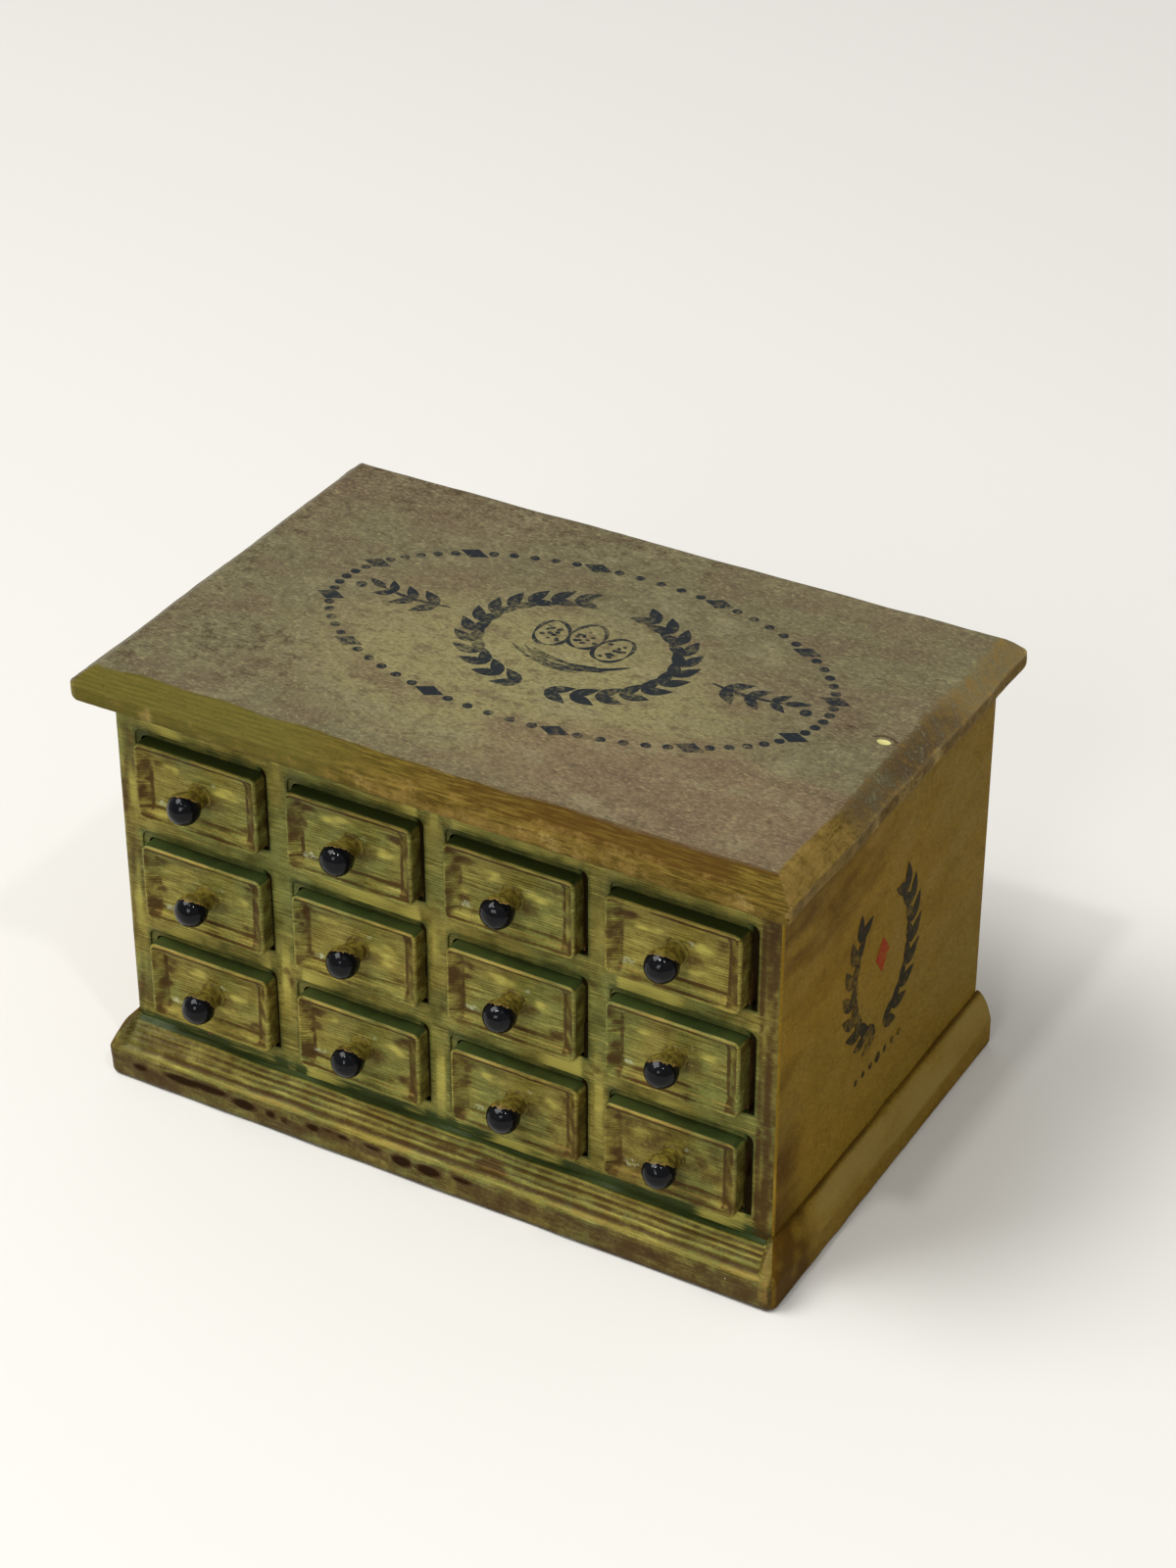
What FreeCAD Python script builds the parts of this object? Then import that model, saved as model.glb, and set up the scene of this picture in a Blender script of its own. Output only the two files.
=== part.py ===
import FreeCAD, Part
import math
import os

# A chest of small drawers at one twelfth of full size, in millimetres.
# X runs to the right seen from the front, Y runs to the back and Z runs up.
# Every piece is drawn with y = 0 on the front face of the carcass and z = 0 on the floor. When it
# is written out it moves along Y, so that the origin lies under the middle of the whole chest.

Vector = FreeCAD.Vector

# ---- Carcass ----
body_width = 50.0  # over the two side panels
body_depth = 31.4  # front face to back face, without mouldings
side_thickness = 1.6
back_thickness = 1.6
back_rebate = 0.8  # how far the back panel is let into each side panel
kick_height = 3.9  # floor to the underside of the bottom board
kick_thickness = 1.6
bottom_thickness = 1.6
frieze_thickness = 2.6  # the board whose front edge shows above the top row
housing_depth = 0.5  # groove in a side panel that takes the end of a board
housing_stop = 1.4  # the grooves stop this far behind the front face

# ---- Grid of openings ----
rows = 3
columns = 4
opening_height = 6.5
shelf_thickness = 1.6
partition_thickness = 1.6

# ---- Top board ----
top_overhang_front = 2.8
top_overhang_side = 1.65
top_overhang_back = 1.3
top_nose_height = 1.2  # upright edge below the bevel
top_bevel_run = 1.5
top_bevel_rise = 1.25
top_corner_radius = 1.0
top_nose_round = 0.45  # lower arris of the nose
top_arris_round = 0.25  # the bevel's two arrises

# ---- Plinth moulding ----
plinth_reveal = 1.2  # edge of the bottom board left showing above the moulding
plinth_front_projection = 2.3
plinth_side_projection = 1.25
plinth_face_height = 2.2  # upright face below the steps or the slope
plinth_steps = 4
plinth_step_round = 0.14
plinth_toe_round = 0.3
plinth_corner_radius = 0.7

# ---- Drawers ----
drawer_side_gap = 0.4  # on each side, in the opening
drawer_top_gap = 0.5
drawer_running_gap = 0.05  # under the drawer
drawer_back_gap = 1.0  # between the shut drawer and the back panel
drawer_lies = (  # how far right of its opening's middle each drawer lies, in side gaps, from the top row
    (0.3, 0.0, -0.1, -0.8),
    (0.4, 0.3, 0.0, -0.6),
    (0.4, 0.4, 0.4, -0.8),
)
front_proud = 1.05  # how far the rim of the drawer front stands out of the carcass
front_inside = 1.0  # how far the drawer front reaches into the opening
front_corner_radius = 0.55
front_edge_chamfer = 0.1
rim_width = 0.2  # flat rim round the panel
panel_bevel = 0.85  # width of the slope from the rim to the panel
panel_depth = 0.55
tray_wall = 0.8
tray_bottom = 0.8
tray_step_down = 0.5  # the tray's sides and back stop this far below the top of the front
lap_depth = 0.6  # rebate in the drawer front that takes the end of a tray side

# ---- Knobs ----
knob_radius = 1.15
knob_length = 2.95  # panel to the tip of the ball
knob_neck_radius = 0.75
knob_collar_radius = 1.0
knob_collar_thickness = 0.22
knob_waist = 0.7  # radius of the neck at its thinnest
knob_flats = 18  # the turned surfaces are drawn as flats, which keeps the twelve knobs light
knob_bands = 6  # rings of flats from the neck to the tip of the ball
knob_tip_radius = 0.3  # flat left by the lathe at the tip
tenon_radius = 0.4
tenon_length = 1.1
tenon_clearance = 0.03

# ---- What follows from them ----
half_width = body_width / 2
inside_half = half_width - side_thickness
inside_depth = body_depth - back_thickness
opening_width = (2 * inside_half - (columns - 1) * partition_thickness) / columns
column_pitch = opening_width + partition_thickness
row_pitch = opening_height + shelf_thickness
floor_of_openings = kick_height + bottom_thickness
top_of_openings = floor_of_openings + rows * row_pitch - shelf_thickness
carcass_height = top_of_openings + frieze_thickness
plinth_height = floor_of_openings - plinth_reveal
halving = inside_depth / 2  # shelves are slotted in front of this line, partitions behind it

front_width = opening_width - 2 * drawer_side_gap
front_height = opening_height - drawer_top_gap - drawer_running_gap
panel_y = panel_depth - front_proud
knob_tip = knob_length - panel_y
front_reach = max(knob_tip, top_overhang_front, plinth_front_projection)
shift_to_origin = Vector(0, (front_reach - body_depth - top_overhang_back) / 2, 0)


# ---- Shapes that repeat ----
def block(x0, x1, y0, y1, z0, z1):
    return Part.makeBox(x1 - x0, y1 - y0, z1 - z0, Vector(x0, y0, z0))


def plan(u, v):
    """A point of a drawing that lies flat on the floor."""
    return Vector(u, v, 0)


def elevation(u, v):
    """A point of a drawing seen from the front."""
    return Vector(u, 0, v)


def end_view(u, v):
    """A point of a drawing seen from the chest's right: u is Y and v is Z."""
    return Vector(0, u, v)


def outline(corners, placing):
    """A closed wire through corners (u, v, radius), each rounded with a tangent arc."""
    points = [Vector(u, v, 0) for u, v, radius in corners]
    ends = []
    for index, (u, v, radius) in enumerate(corners):
        corner = points[index]
        back = (points[index - 1] - corner).normalize()
        ahead = (points[(index + 1) % len(points)] - corner).normalize()
        half_angle = back.getAngle(ahead) / 2
        reach = radius / math.tan(half_angle)
        middle = corner + (back + ahead).normalize() * (radius / math.sin(half_angle) - radius)
        ends.append((corner + back * reach, middle, corner + ahead * reach))
    edges = []
    for index, (start, middle, end) in enumerate(ends):
        if corners[index][2] > 0:
            arc = [placing(point.x, point.y) for point in (start, middle, end)]
            edges.append(Part.Arc(*arc).toShape())
        leave = placing(end.x, end.y)
        arrive = placing(*ends[(index + 1) % len(ends)][0][:2])
        edges.append(Part.makeLine(leave, arrive))
    return Part.Wire(edges)


def rectangle(u0, u1, v0, v1, radius, placing):
    corners = [(u0, v0, radius), (u1, v0, radius), (u1, v1, radius), (u0, v1, radius)]
    return outline(corners, placing)


def prism(wire, direction):
    return Part.Face(wire).extrude(direction)


def edges_at(shape, test):
    """The edges whose two ends and middle all pass the test."""
    chosen = []
    for edge in shape.Edges:
        middle = edge.valueAt((edge.FirstParameter + edge.LastParameter) / 2)
        places = [vertex.Point for vertex in edge.Vertexes] + [middle]
        if all(test(place) for place in places):
            chosen.append(edge)
    return chosen


# ---- Carcass ----
def shelf_levels():
    """The underside of each shelf, from the lowest up."""
    return [floor_of_openings + (row + 1) * row_pitch - shelf_thickness for row in range(rows - 1)]


def partition_lefts():
    """The left face of each partition, from the left."""
    return [-inside_half + (column + 1) * column_pitch - partition_thickness
            for column in range(columns - 1)]


def side_panel(hand):
    """A side from floor to top, grooved for the boards and rebated for the back; hand is -1 or 1."""
    inner, outer = sorted((hand * inside_half, hand * half_width))
    panel = block(inner, outer, 0, body_depth, 0, carcass_height)
    groove_end = hand * (inside_half + housing_depth)
    groove_sides = sorted((hand * inside_half, groove_end))
    housed = [(kick_height, bottom_thickness)]
    housed += [(level, shelf_thickness) for level in shelf_levels()]
    for level, thickness in housed:
        panel = panel.cut(block(*groove_sides, housing_stop, inside_depth, level, level + thickness))
    rebate_sides = sorted((hand * inside_half, hand * (inside_half + back_rebate)))
    return panel.cut(block(*rebate_sides, inside_depth, body_depth, 0, carcass_height))


def housed_board(level, thickness):
    """A board between the sides, with its ends in their grooves."""
    top = level + thickness
    reach = inside_half + housing_depth
    board = block(-inside_half, inside_half, 0, inside_depth, level, top)
    return board.fuse(block(-reach, reach, housing_stop, inside_depth, level, top)).removeSplitter()


def shelf(level):
    """A shelf slotted from the front, where the partitions pass."""
    board = housed_board(level, shelf_thickness)
    for left in partition_lefts():
        board = board.cut(block(left, left + partition_thickness, 0, halving, level, level + shelf_thickness))
    return board


def partition(left):
    """An upright slotted from the back, where the shelves pass."""
    right = left + partition_thickness
    board = block(left, right, 0, inside_depth, floor_of_openings, top_of_openings)
    for level in shelf_levels():
        board = board.cut(block(left, right, halving, inside_depth, level, level + shelf_thickness))
    return board


def back_panel():
    reach = inside_half + back_rebate
    return block(-reach, reach, inside_depth, body_depth, 0, carcass_height)


def top_board():
    """A board with a rounded nose and a bevel worked along all four edges and eased corners."""
    under = carcass_height
    bevel_foot = under + top_nose_height
    face = bevel_foot + top_bevel_rise

    def moulded(start, end, placing, length, direction):
        """The board's section from start to end, carried along its length."""
        corners = [(start, under, top_nose_round), (end, under, top_nose_round),
                   (end, bevel_foot, top_arris_round), (end - top_bevel_run, face, top_arris_round),
                   (start + top_bevel_run, face, top_arris_round), (start, bevel_foot, top_arris_round)]
        return prism(outline(corners, placing), direction * (2 * length)).translated(direction * -length)

    side = half_width + top_overhang_side
    front = -top_overhang_front
    back = body_depth + top_overhang_back
    blank = prism(rectangle(-side, side, front, back, top_corner_radius, plan), Vector(0, 0, face))
    front_and_back = moulded(front, back, end_view, side, Vector(1, 0, 0))
    ends = moulded(-side, side, elevation, back, Vector(0, 1, 0))
    return front_and_back.common(ends).common(blank).removeSplitter()


# ---- Plinth ----
def plinth_outline():
    """The plinth's outer shape in plan, with its two front corners rounded."""
    reach = half_width + plinth_side_projection
    front = -plinth_front_projection
    corners = [(-reach, front, plinth_corner_radius), (reach, front, plinth_corner_radius),
               (reach, body_depth, 0), (-reach, body_depth, 0)]
    return prism(outline(corners, plan), Vector(0, 0, plinth_height))


def mitred(moulding, corners):
    """A moulding cut to its mitres, whose plan is given, and to the plinth's rounded corners."""
    cutter = prism(outline([(x, y, 0) for x, y in corners], plan), Vector(0, 0, plinth_height))
    return moulding.common(cutter).common(plinth_outline()).removeSplitter()


def plinth_front():
    """The stepped front moulding."""
    tread = plinth_front_projection / plinth_steps
    riser = (plinth_height - plinth_face_height) / (plinth_steps - 1)
    corners = [(0, 0, 0), (0, plinth_height, 0)]
    for step in range(plinth_steps):
        nosing = -(step + 1) * tread
        level = plinth_height - step * riser
        corners.append((nosing, level, plinth_step_round))
        if step < plinth_steps - 1:
            corners.append((nosing, level - riser, 0))
    corners.append((-plinth_front_projection, 0, plinth_toe_round))
    reach = half_width + plinth_side_projection
    moulding = prism(outline(corners, end_view), Vector(2 * reach, 0, 0)).translated(Vector(-reach, 0, 0))
    return mitred(moulding, [(-half_width, 0), (half_width, 0), (reach, -plinth_front_projection),
                             (-reach, -plinth_front_projection)])


def plinth_side(hand):
    """The smooth side moulding, which runs back to the wall end of the side; hand is -1 or 1."""
    inner = hand * half_width
    outer = hand * (half_width + plinth_side_projection)
    corners = [(inner, 0, 0), (outer, 0, plinth_toe_round), (outer, plinth_face_height, plinth_step_round),
               (inner, plinth_height, 0)]
    length = body_depth + plinth_front_projection
    moulding = prism(outline(corners, elevation), Vector(0, length, 0))
    moulding.translate(Vector(0, -plinth_front_projection, 0))
    return mitred(moulding, [(inner, 0), (outer, -plinth_front_projection), (outer, body_depth),
                             (inner, body_depth)])


# ---- Drawers ----
def drawer_front(centre, floor):
    """A front with a sunk panel, lapped over the tray sides and bored for the knob's tenon."""
    left = centre - front_width / 2
    right = centre + front_width / 2
    top = floor + front_height
    shape = rectangle(left, right, floor, top, front_corner_radius, elevation)
    front = prism(shape, Vector(0, front_proud + front_inside, 0)).translated(Vector(0, -front_proud, 0))
    arrises = edges_at(front, lambda place: abs(place.y + front_proud) < 1e-4)
    front = front.makeChamfer(front_edge_chamfer, arrises)
    mouth = rim_width
    panel = rim_width + panel_bevel
    sunk = Part.makeWedge(left + mouth, -front_proud, floor + mouth, floor + panel, left + panel,
                          right - mouth, panel_y, top - mouth, top - panel, right - panel)
    front = front.cut(sunk)
    lap_start = front_inside - lap_depth
    for inner, outer in ((left, left + tray_wall), (right - tray_wall, right)):
        front = front.cut(block(inner, outer, lap_start, front_inside, floor, top))
    bore = Part.makeCylinder(tenon_radius + tenon_clearance, tenon_length + tenon_clearance,
                             Vector(centre, panel_y, floor + front_height / 2), Vector(0, 1, 0))
    return front.cut(bore)


def drawer_tray(centre, floor):
    """Two sides, a back and a bottom, butted together behind the front."""
    left = centre - front_width / 2
    right = centre + front_width / 2
    top = floor + front_height - tray_step_down
    end = inside_depth - drawer_back_gap
    side_start = front_inside - lap_depth
    sides = [block(left, left + tray_wall, side_start, end, floor, top),
             block(right - tray_wall, right, side_start, end, floor, top)]
    bottom = block(left + tray_wall, right - tray_wall, front_inside, end, floor, floor + tray_bottom)
    back = block(left + tray_wall, right - tray_wall, end - tray_wall, end, floor + tray_bottom, top)
    return Part.makeCompound(sides + [bottom, back])


def turned(stations):
    """A solid turned about the Y axis through stations (radius, y), drawn as bands of flats."""
    rings = []
    for radius, y in stations:
        turns = [2 * math.pi * flat / knob_flats for flat in range(knob_flats)]
        rings.append([Vector(radius * math.cos(turn), y, radius * math.sin(turn)) for turn in turns])
    faces = [Part.Face(Part.makePolygon(ring + ring[:1])) for ring in (rings[0], rings[-1])]
    for near, far in zip(rings, rings[1:]):
        for flat in range(knob_flats):
            ahead = (flat + 1) % knob_flats
            corners = [near[flat], near[ahead], far[ahead], far[flat], near[flat]]
            faces.append(Part.Face(Part.makePolygon(corners)))
    solid = Part.Solid(Part.Shell(faces))
    return solid if solid.Volume > 0 else solid.reversed()


def knob(centre, floor):
    """A ball on a waisted neck, with a thin collar on the panel and a tenon behind it."""
    neck_angle = math.asin(knob_neck_radius / knob_radius)
    tip_angle = math.pi - math.asin(knob_tip_radius / knob_radius)
    ball_centre = knob_length + knob_radius * math.cos(tip_angle)
    ball_start = ball_centre - knob_radius * math.cos(neck_angle)
    stations = [(knob_collar_radius, 0), (knob_collar_radius, -knob_collar_thickness),
                (knob_waist, -(knob_collar_thickness + ball_start) / 2)]
    for band in range(knob_bands + 1):
        angle = neck_angle + (tip_angle - neck_angle) * band / knob_bands
        stations.append((knob_radius * math.sin(angle), knob_radius * math.cos(angle) - ball_centre))
    tenon = Part.makeCylinder(tenon_radius, tenon_length, Vector(0, 0, 0), Vector(0, 1, 0))
    return turned(stations).fuse(tenon).translated(Vector(centre, panel_y, floor + front_height / 2))


# ---- The whole chest ----
def carcass_pieces():
    pieces = {
        "top_board": top_board(),
        "frieze_board": block(-inside_half, inside_half, 0, inside_depth, top_of_openings, carcass_height),
        "bottom_board": housed_board(kick_height, bottom_thickness),
        "kick_board": block(-inside_half, inside_half, 0, kick_thickness, 0, kick_height),
        "left_side": side_panel(-1),
        "right_side": side_panel(1),
        "back_panel": back_panel(),
        "plinth_front": plinth_front(),
        "plinth_left": plinth_side(-1),
        "plinth_right": plinth_side(1),
    }
    for number, level in enumerate(shelf_levels(), 1):
        pieces[f"shelf_{number}"] = shelf(level)
    for number, left in enumerate(partition_lefts(), 1):
        pieces[f"partition_{number}"] = partition(left)
    return pieces


def drawer_pieces():
    """Front, tray and knob of each drawer; rows are counted from the top, columns from the left."""
    pieces = {}
    for row in range(rows):
        floor = floor_of_openings + (rows - 1 - row) * row_pitch + drawer_running_gap
        lies = drawer_lies[row % len(drawer_lies)]
        for column in range(columns):
            lie = lies[column % len(lies)] * drawer_side_gap
            centre = -inside_half + opening_width / 2 + column * column_pitch + lie
            place = f"r{row + 1}c{column + 1}"
            pieces[f"drawer_front_{place}"] = drawer_front(centre, floor)
            pieces[f"drawer_tray_{place}"] = drawer_tray(centre, floor)
            pieces[f"knob_{place}"] = knob(centre, floor)
    return pieces


os.makedirs("parts", exist_ok=True)
for name, piece in {**carcass_pieces(), **drawer_pieces()}.items():
    piece.translated(shift_to_origin).exportStep(f"parts/{name}.step")
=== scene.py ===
import functools
import math

import bmesh
import bpy
import numpy as np
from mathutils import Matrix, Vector


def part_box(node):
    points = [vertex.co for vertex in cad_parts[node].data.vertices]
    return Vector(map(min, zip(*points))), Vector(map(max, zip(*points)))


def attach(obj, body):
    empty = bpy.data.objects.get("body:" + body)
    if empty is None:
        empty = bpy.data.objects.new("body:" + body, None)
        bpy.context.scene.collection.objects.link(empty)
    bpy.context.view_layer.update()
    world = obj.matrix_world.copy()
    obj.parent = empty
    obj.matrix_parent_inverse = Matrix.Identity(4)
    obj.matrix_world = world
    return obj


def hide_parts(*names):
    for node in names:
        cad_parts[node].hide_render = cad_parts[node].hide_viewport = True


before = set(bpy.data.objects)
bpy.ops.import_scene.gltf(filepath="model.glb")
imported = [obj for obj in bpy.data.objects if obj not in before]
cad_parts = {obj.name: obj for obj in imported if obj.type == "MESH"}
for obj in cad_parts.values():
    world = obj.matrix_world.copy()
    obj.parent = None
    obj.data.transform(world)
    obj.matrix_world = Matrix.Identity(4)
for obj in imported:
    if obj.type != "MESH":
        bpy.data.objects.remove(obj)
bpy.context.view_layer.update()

# The looks of a dolls'-house chest of twelve drawers: worn olive paint over a close grain, with a
# taupe top. Shapes are worked out in millimetres and written in metres.
mm = 0.001


# ---- Camera ----
camera_place = Vector((105.26, -179.32, 156.25)) * mm
camera_azimuth = 29.71  # degrees left of straight ahead
camera_pitch = 32.66  # degrees down
camera_lens = 84.12


def new_object(name, data):
    """An object in the scene for a mesh, a camera or a light."""
    made = bpy.data.objects.new(name, data)
    bpy.context.scene.collection.objects.link(made)
    return made


camera = new_object("camera", bpy.data.cameras.new("camera"))
camera.data.lens = camera_lens
camera.data.clip_start = 0.01
camera.location = camera_place
camera.rotation_euler = (math.radians(90 - camera_pitch), 0, math.radians(camera_azimuth))
bpy.context.scene.camera = camera


# ---- Sizes read from the frame, in millimetres ----
def corners(node):
    """The lowest and the highest corner of a CAD node."""
    low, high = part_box(node)
    return np.array(low) / mm, np.array(high) / mm


side_low, side_high = corners("right_side")
face_y = side_low[1]
back_y = side_high[1]
half_width = side_high[0]
inside_half = side_low[0]
carcass_top = side_high[2]
partitions = [corners(f"partition_{number}") for number in (1, 2, 3)]
shelf_boxes = [corners(f"shelf_{number}") for number in (1, 2)]
opening_lefts = [-inside_half] + [high[0] for low, high in partitions]
opening_rights = [low[0] for low, high in partitions] + [inside_half]
opening_floors = [corners("bottom_board")[1][2]] + [high[2] for low, high in shelf_boxes]
opening_tops = [low[2] for low, high in shelf_boxes] + [corners("frieze_board")[0][2]]
rows, columns = len(opening_floors), len(opening_lefts)
front_reach = face_y - corners("plinth_front")[0][1]  # how far the plinth stands out in front
side_reach = corners("plinth_right")[1][0] - half_width  # and to each side
plinth_top = corners("plinth_front")[1][2]

# ---- Sizes of the finish, in millimetres ----
drawer_rim = 0.2
drawer_bevel = 0.85
drawer_panel_depth = 0.55
drawer_corner = 0.55
drawer_arris = 0.2
drawer_lap = 0.4  # the tray's sides start this far behind the carcass face
drawer_tray_wall = 0.8
drawer_level_step = 0.04  # between the rows of points on a drawer front
layer_pitch = 0.2  # fine level lines that the front was built up from
knob_radius = 1.15
knob_length = 2.95
knob_neck = 0.88
knob_collar = 0.95
knob_collar_thickness = 0.16
knob_collar_round = 0.15
knob_sunk = 0.1  # how far the collar goes into the panel
knob_points = 48  # round the knob
top_bevel_run = 1.5
top_nose_height = 1.2
top_nose_round = 0.45
plinth_face_height = 2.2
plinth_corner = 0.7
plinth_cove = 0.4  # depth of the cove along the top of the front moulding
board_arris = 0.3  # radius along the edges of the sides and the face
hidden_arris = 0.06  # width of the bevel on the boards inside
paint_thickness = 0.03  # the painted face stands this far proud of the boards' edges
mouth_inset = 0.02  # the paint stands this far into an opening
mouth_corners = (0.05, 0.6)  # radius at the floor and at the top
mouth_depths = (1.3, 0.9)  # how far back the paint goes into an opening, in two steps
lip_corners = (0.05, 0.5)
mouth_arris = 0.05
mouth_points = (44, 32)  # along the floor of an opening and up a side
opening_lip = 0.05  # how far behind the carcass face the lip round a drawer lies
lip_slack = 0.08  # room between a lip and its drawer
open_gap = 0.3  # width of a break in a lip
# Spacing of points: margin at each end where they lie close, step there and step between.
drawer_spacing = (1.35, 0.08, 0.25)
side_spacing = (0.6, 0.06, 0.5)
top_spacing_x, top_spacing_y = (2.6, 0.13, 0.8), (2.6, 0.1, 0.8)


# ---- Numbers ----
def ease(value, start, end):
    """0 before start, 1 after end and smooth between; start may be the larger."""
    share = np.clip((value - start) / (end - start), 0, 1)
    return share * share * (3 - 2 * share)


def ripple(points, wavelength, seed):
    """Smooth noise, mostly from -1 to 1, at each of an array of points."""
    chance = np.random.default_rng(seed)
    waves = 18
    directions = chance.normal(size=(waves, 3))
    directions /= np.linalg.norm(directions, axis=1)[:, None]
    lengths = wavelength * chance.uniform(0.7, 1.6, waves)
    phases = chance.uniform(0, 2 * math.pi, waves)
    angles = points @ (directions / lengths[:, None]).T * 2 * math.pi + phases
    return np.sin(angles).sum(axis=-1) / 4


def cloud(points, wavelength, seed):
    """Smooth noise, mostly from 0 to 1."""
    return 0.5 + 0.5 * ripple(points, wavelength, seed)


def greatest(*masks):
    """The largest of several masks at each point."""
    return functools.reduce(np.maximum, masks)


def nearest(value, places):
    """How far a value is from the nearest of several places."""
    return np.min([abs(value - place) for place in places], axis=0)


def as_points(*coordinates):
    """Arrays of coordinates as one array of points."""
    return np.stack(coordinates, axis=-1)


def patch(points, centre, reach):
    """1 at a centre, falling to 0 at an ellipsoid with the given reaches."""
    away = (points - np.array(centre)) / np.array(reach)
    return ease(np.linalg.norm(away, axis=-1), 1, 0.2)


def band(value, low, high, blur):
    """1 where value lies between low and high, fading over blur outside them."""
    return ease(value, low - blur, low) * ease(value, high + blur, high)


def spaced(low, high, margin, fine, coarse):
    """Positions from low to high, close together within a margin of both ends."""
    edge = np.linspace(0, margin, round(margin / fine) + 1)
    count = max(2, round((high - low - 2 * margin) / coarse) + 1)
    middle = np.linspace(low + margin, high - margin, count)
    return np.concatenate([low + edge[:-1], middle, high - edge[-2::-1]])


# ---- Meshes ----
def add_piece(name, points, faces, material, body, replaced, masks, crease=50):
    """A mesh piece on a body, in place of CAD nodes, with paint masks as one number per point."""
    mesh = bpy.data.meshes.new(name)
    mesh.from_pydata((points * mm).tolist(), [], faces)
    shape = bmesh.new()
    shape.from_mesh(mesh)
    bmesh.ops.recalc_face_normals(shape, faces=shape.faces)
    shape.to_mesh(mesh)
    shape.free()
    for mask, values in masks.items():
        attribute = mesh.attributes.new(mask, "FLOAT", "POINT")
        attribute.data.foreach_set("value", np.asarray(values, np.float32))
    mesh.shade_smooth()
    mesh.set_sharp_from_angle(angle=math.radians(crease))
    mesh.materials.append(materials[material])
    piece = new_object(name, mesh)
    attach(piece, body)
    if replaced:
        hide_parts(*replaced)


def joined(*parts):
    """Several (points, faces) as one."""
    points, faces, start = [], [], 0
    for some_points, some_faces in parts:
        points.append(some_points)
        faces += [[start + corner for corner in face] for face in some_faces]
        start += len(some_points)
    return np.concatenate(points), faces


def loft(loops, closed_ends=True):
    """A skin over loops of equal length, with a flat cap on each end."""
    count = len(loops[0])
    points = np.concatenate(loops)
    faces = []
    for ring in range(len(loops) - 1):
        near, far = ring * count, (ring + 1) * count
        for corner in range(count):
            ahead = (corner + 1) % count
            faces.append([near + corner, near + ahead, far + ahead, far + corner])
    if closed_ends:
        faces.append(list(range(count))[::-1])
        faces.append(list(range(len(points) - count, len(points))))
    return points, faces


def box_between(xs, ys, zs):
    """A plain box between two values along each axis."""
    walk = ((0, 0), (1, 0), (1, 1), (0, 1))
    return loft([np.array([(xs[across], y, zs[up]) for across, up in walk]) for y in ys])


def rolled(depth, radius):
    """How far a rounded arris has fallen away at a depth inside its outline."""
    short = np.clip(radius - depth, 0, radius)
    return radius - np.sqrt(radius ** 2 - short ** 2)


def ramp(depth, run, blurs, lowest=0):
    """A slope from 0 to 1 over a run, rounded off by the mean of several that are shifted a little."""
    return sum(np.clip((depth + blur) / run, lowest, 1) for blur in blurs) / len(blurs)


def relief(us, vs, radius, surface, rings, place):
    """A closed block whose face is a grid over us and vs with rounded corners, at the height that
    surface gives. Rings of (inset, height) carry its rim down to a flat back."""
    u, v = np.meshgrid(us, vs, indexing="ij")
    inner_u = np.clip(u, us[0] + radius, us[-1] - radius)
    inner_v = np.clip(v, vs[0] + radius, vs[-1] - radius)
    out_u, out_v = u - inner_u, v - inner_v
    length = np.maximum(np.hypot(out_u, out_v), 1e-9)
    squeeze = np.maximum(abs(out_u), abs(out_v)) / length
    u, v = inner_u + out_u * squeeze, inner_v + out_v * squeeze
    grid = place(u, v, surface(u, v)).reshape(-1, 3)
    wide, high = len(us), len(vs)
    order = np.arange(wide * high).reshape(wide, high)
    quads = [order[:-1, :-1], order[1:, :-1], order[1:, 1:], order[:-1, 1:]]
    faces = np.stack([corner.ravel() for corner in quads], axis=1).tolist()
    rim = np.concatenate([order[:-1, 0], order[-1, :-1], order[:0:-1, -1], order[0, :0:-1]])
    rim_u, rim_v = u.ravel()[rim], v.ravel()[rim]
    normal_u, normal_v = (out_u / length).ravel()[rim], (out_v / length).ravel()[rim]
    points, last = [grid], rim
    for inset, height in rings:
        start = sum(len(some) for some in points)
        ring = place(rim_u - normal_u * inset, rim_v - normal_v * inset, np.full(len(rim), height))
        points.append(ring)
        here = start + np.arange(len(rim))
        sides = [last, np.roll(last, -1), np.roll(here, -1), here]
        faces += np.stack(sides, axis=1).tolist()
        last = here
    faces.append(last[::-1].tolist())
    return np.concatenate(points), faces


# ---- Materials ----
def paint(red, green, blue):
    """A colour written from 0 to 255, as the shader takes it."""
    share = np.array([red, green, blue]) / 255
    linear = np.where(share <= 0.04045, share / 12.92, ((share + 0.055) / 1.055) ** 2.4)
    return (*linear.tolist(), 1.0)


mix_sockets = {"FLOAT": (0, 2, 3, 0), "RGBA": (0, 6, 7, 2)}  # share, first, second and result


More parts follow.
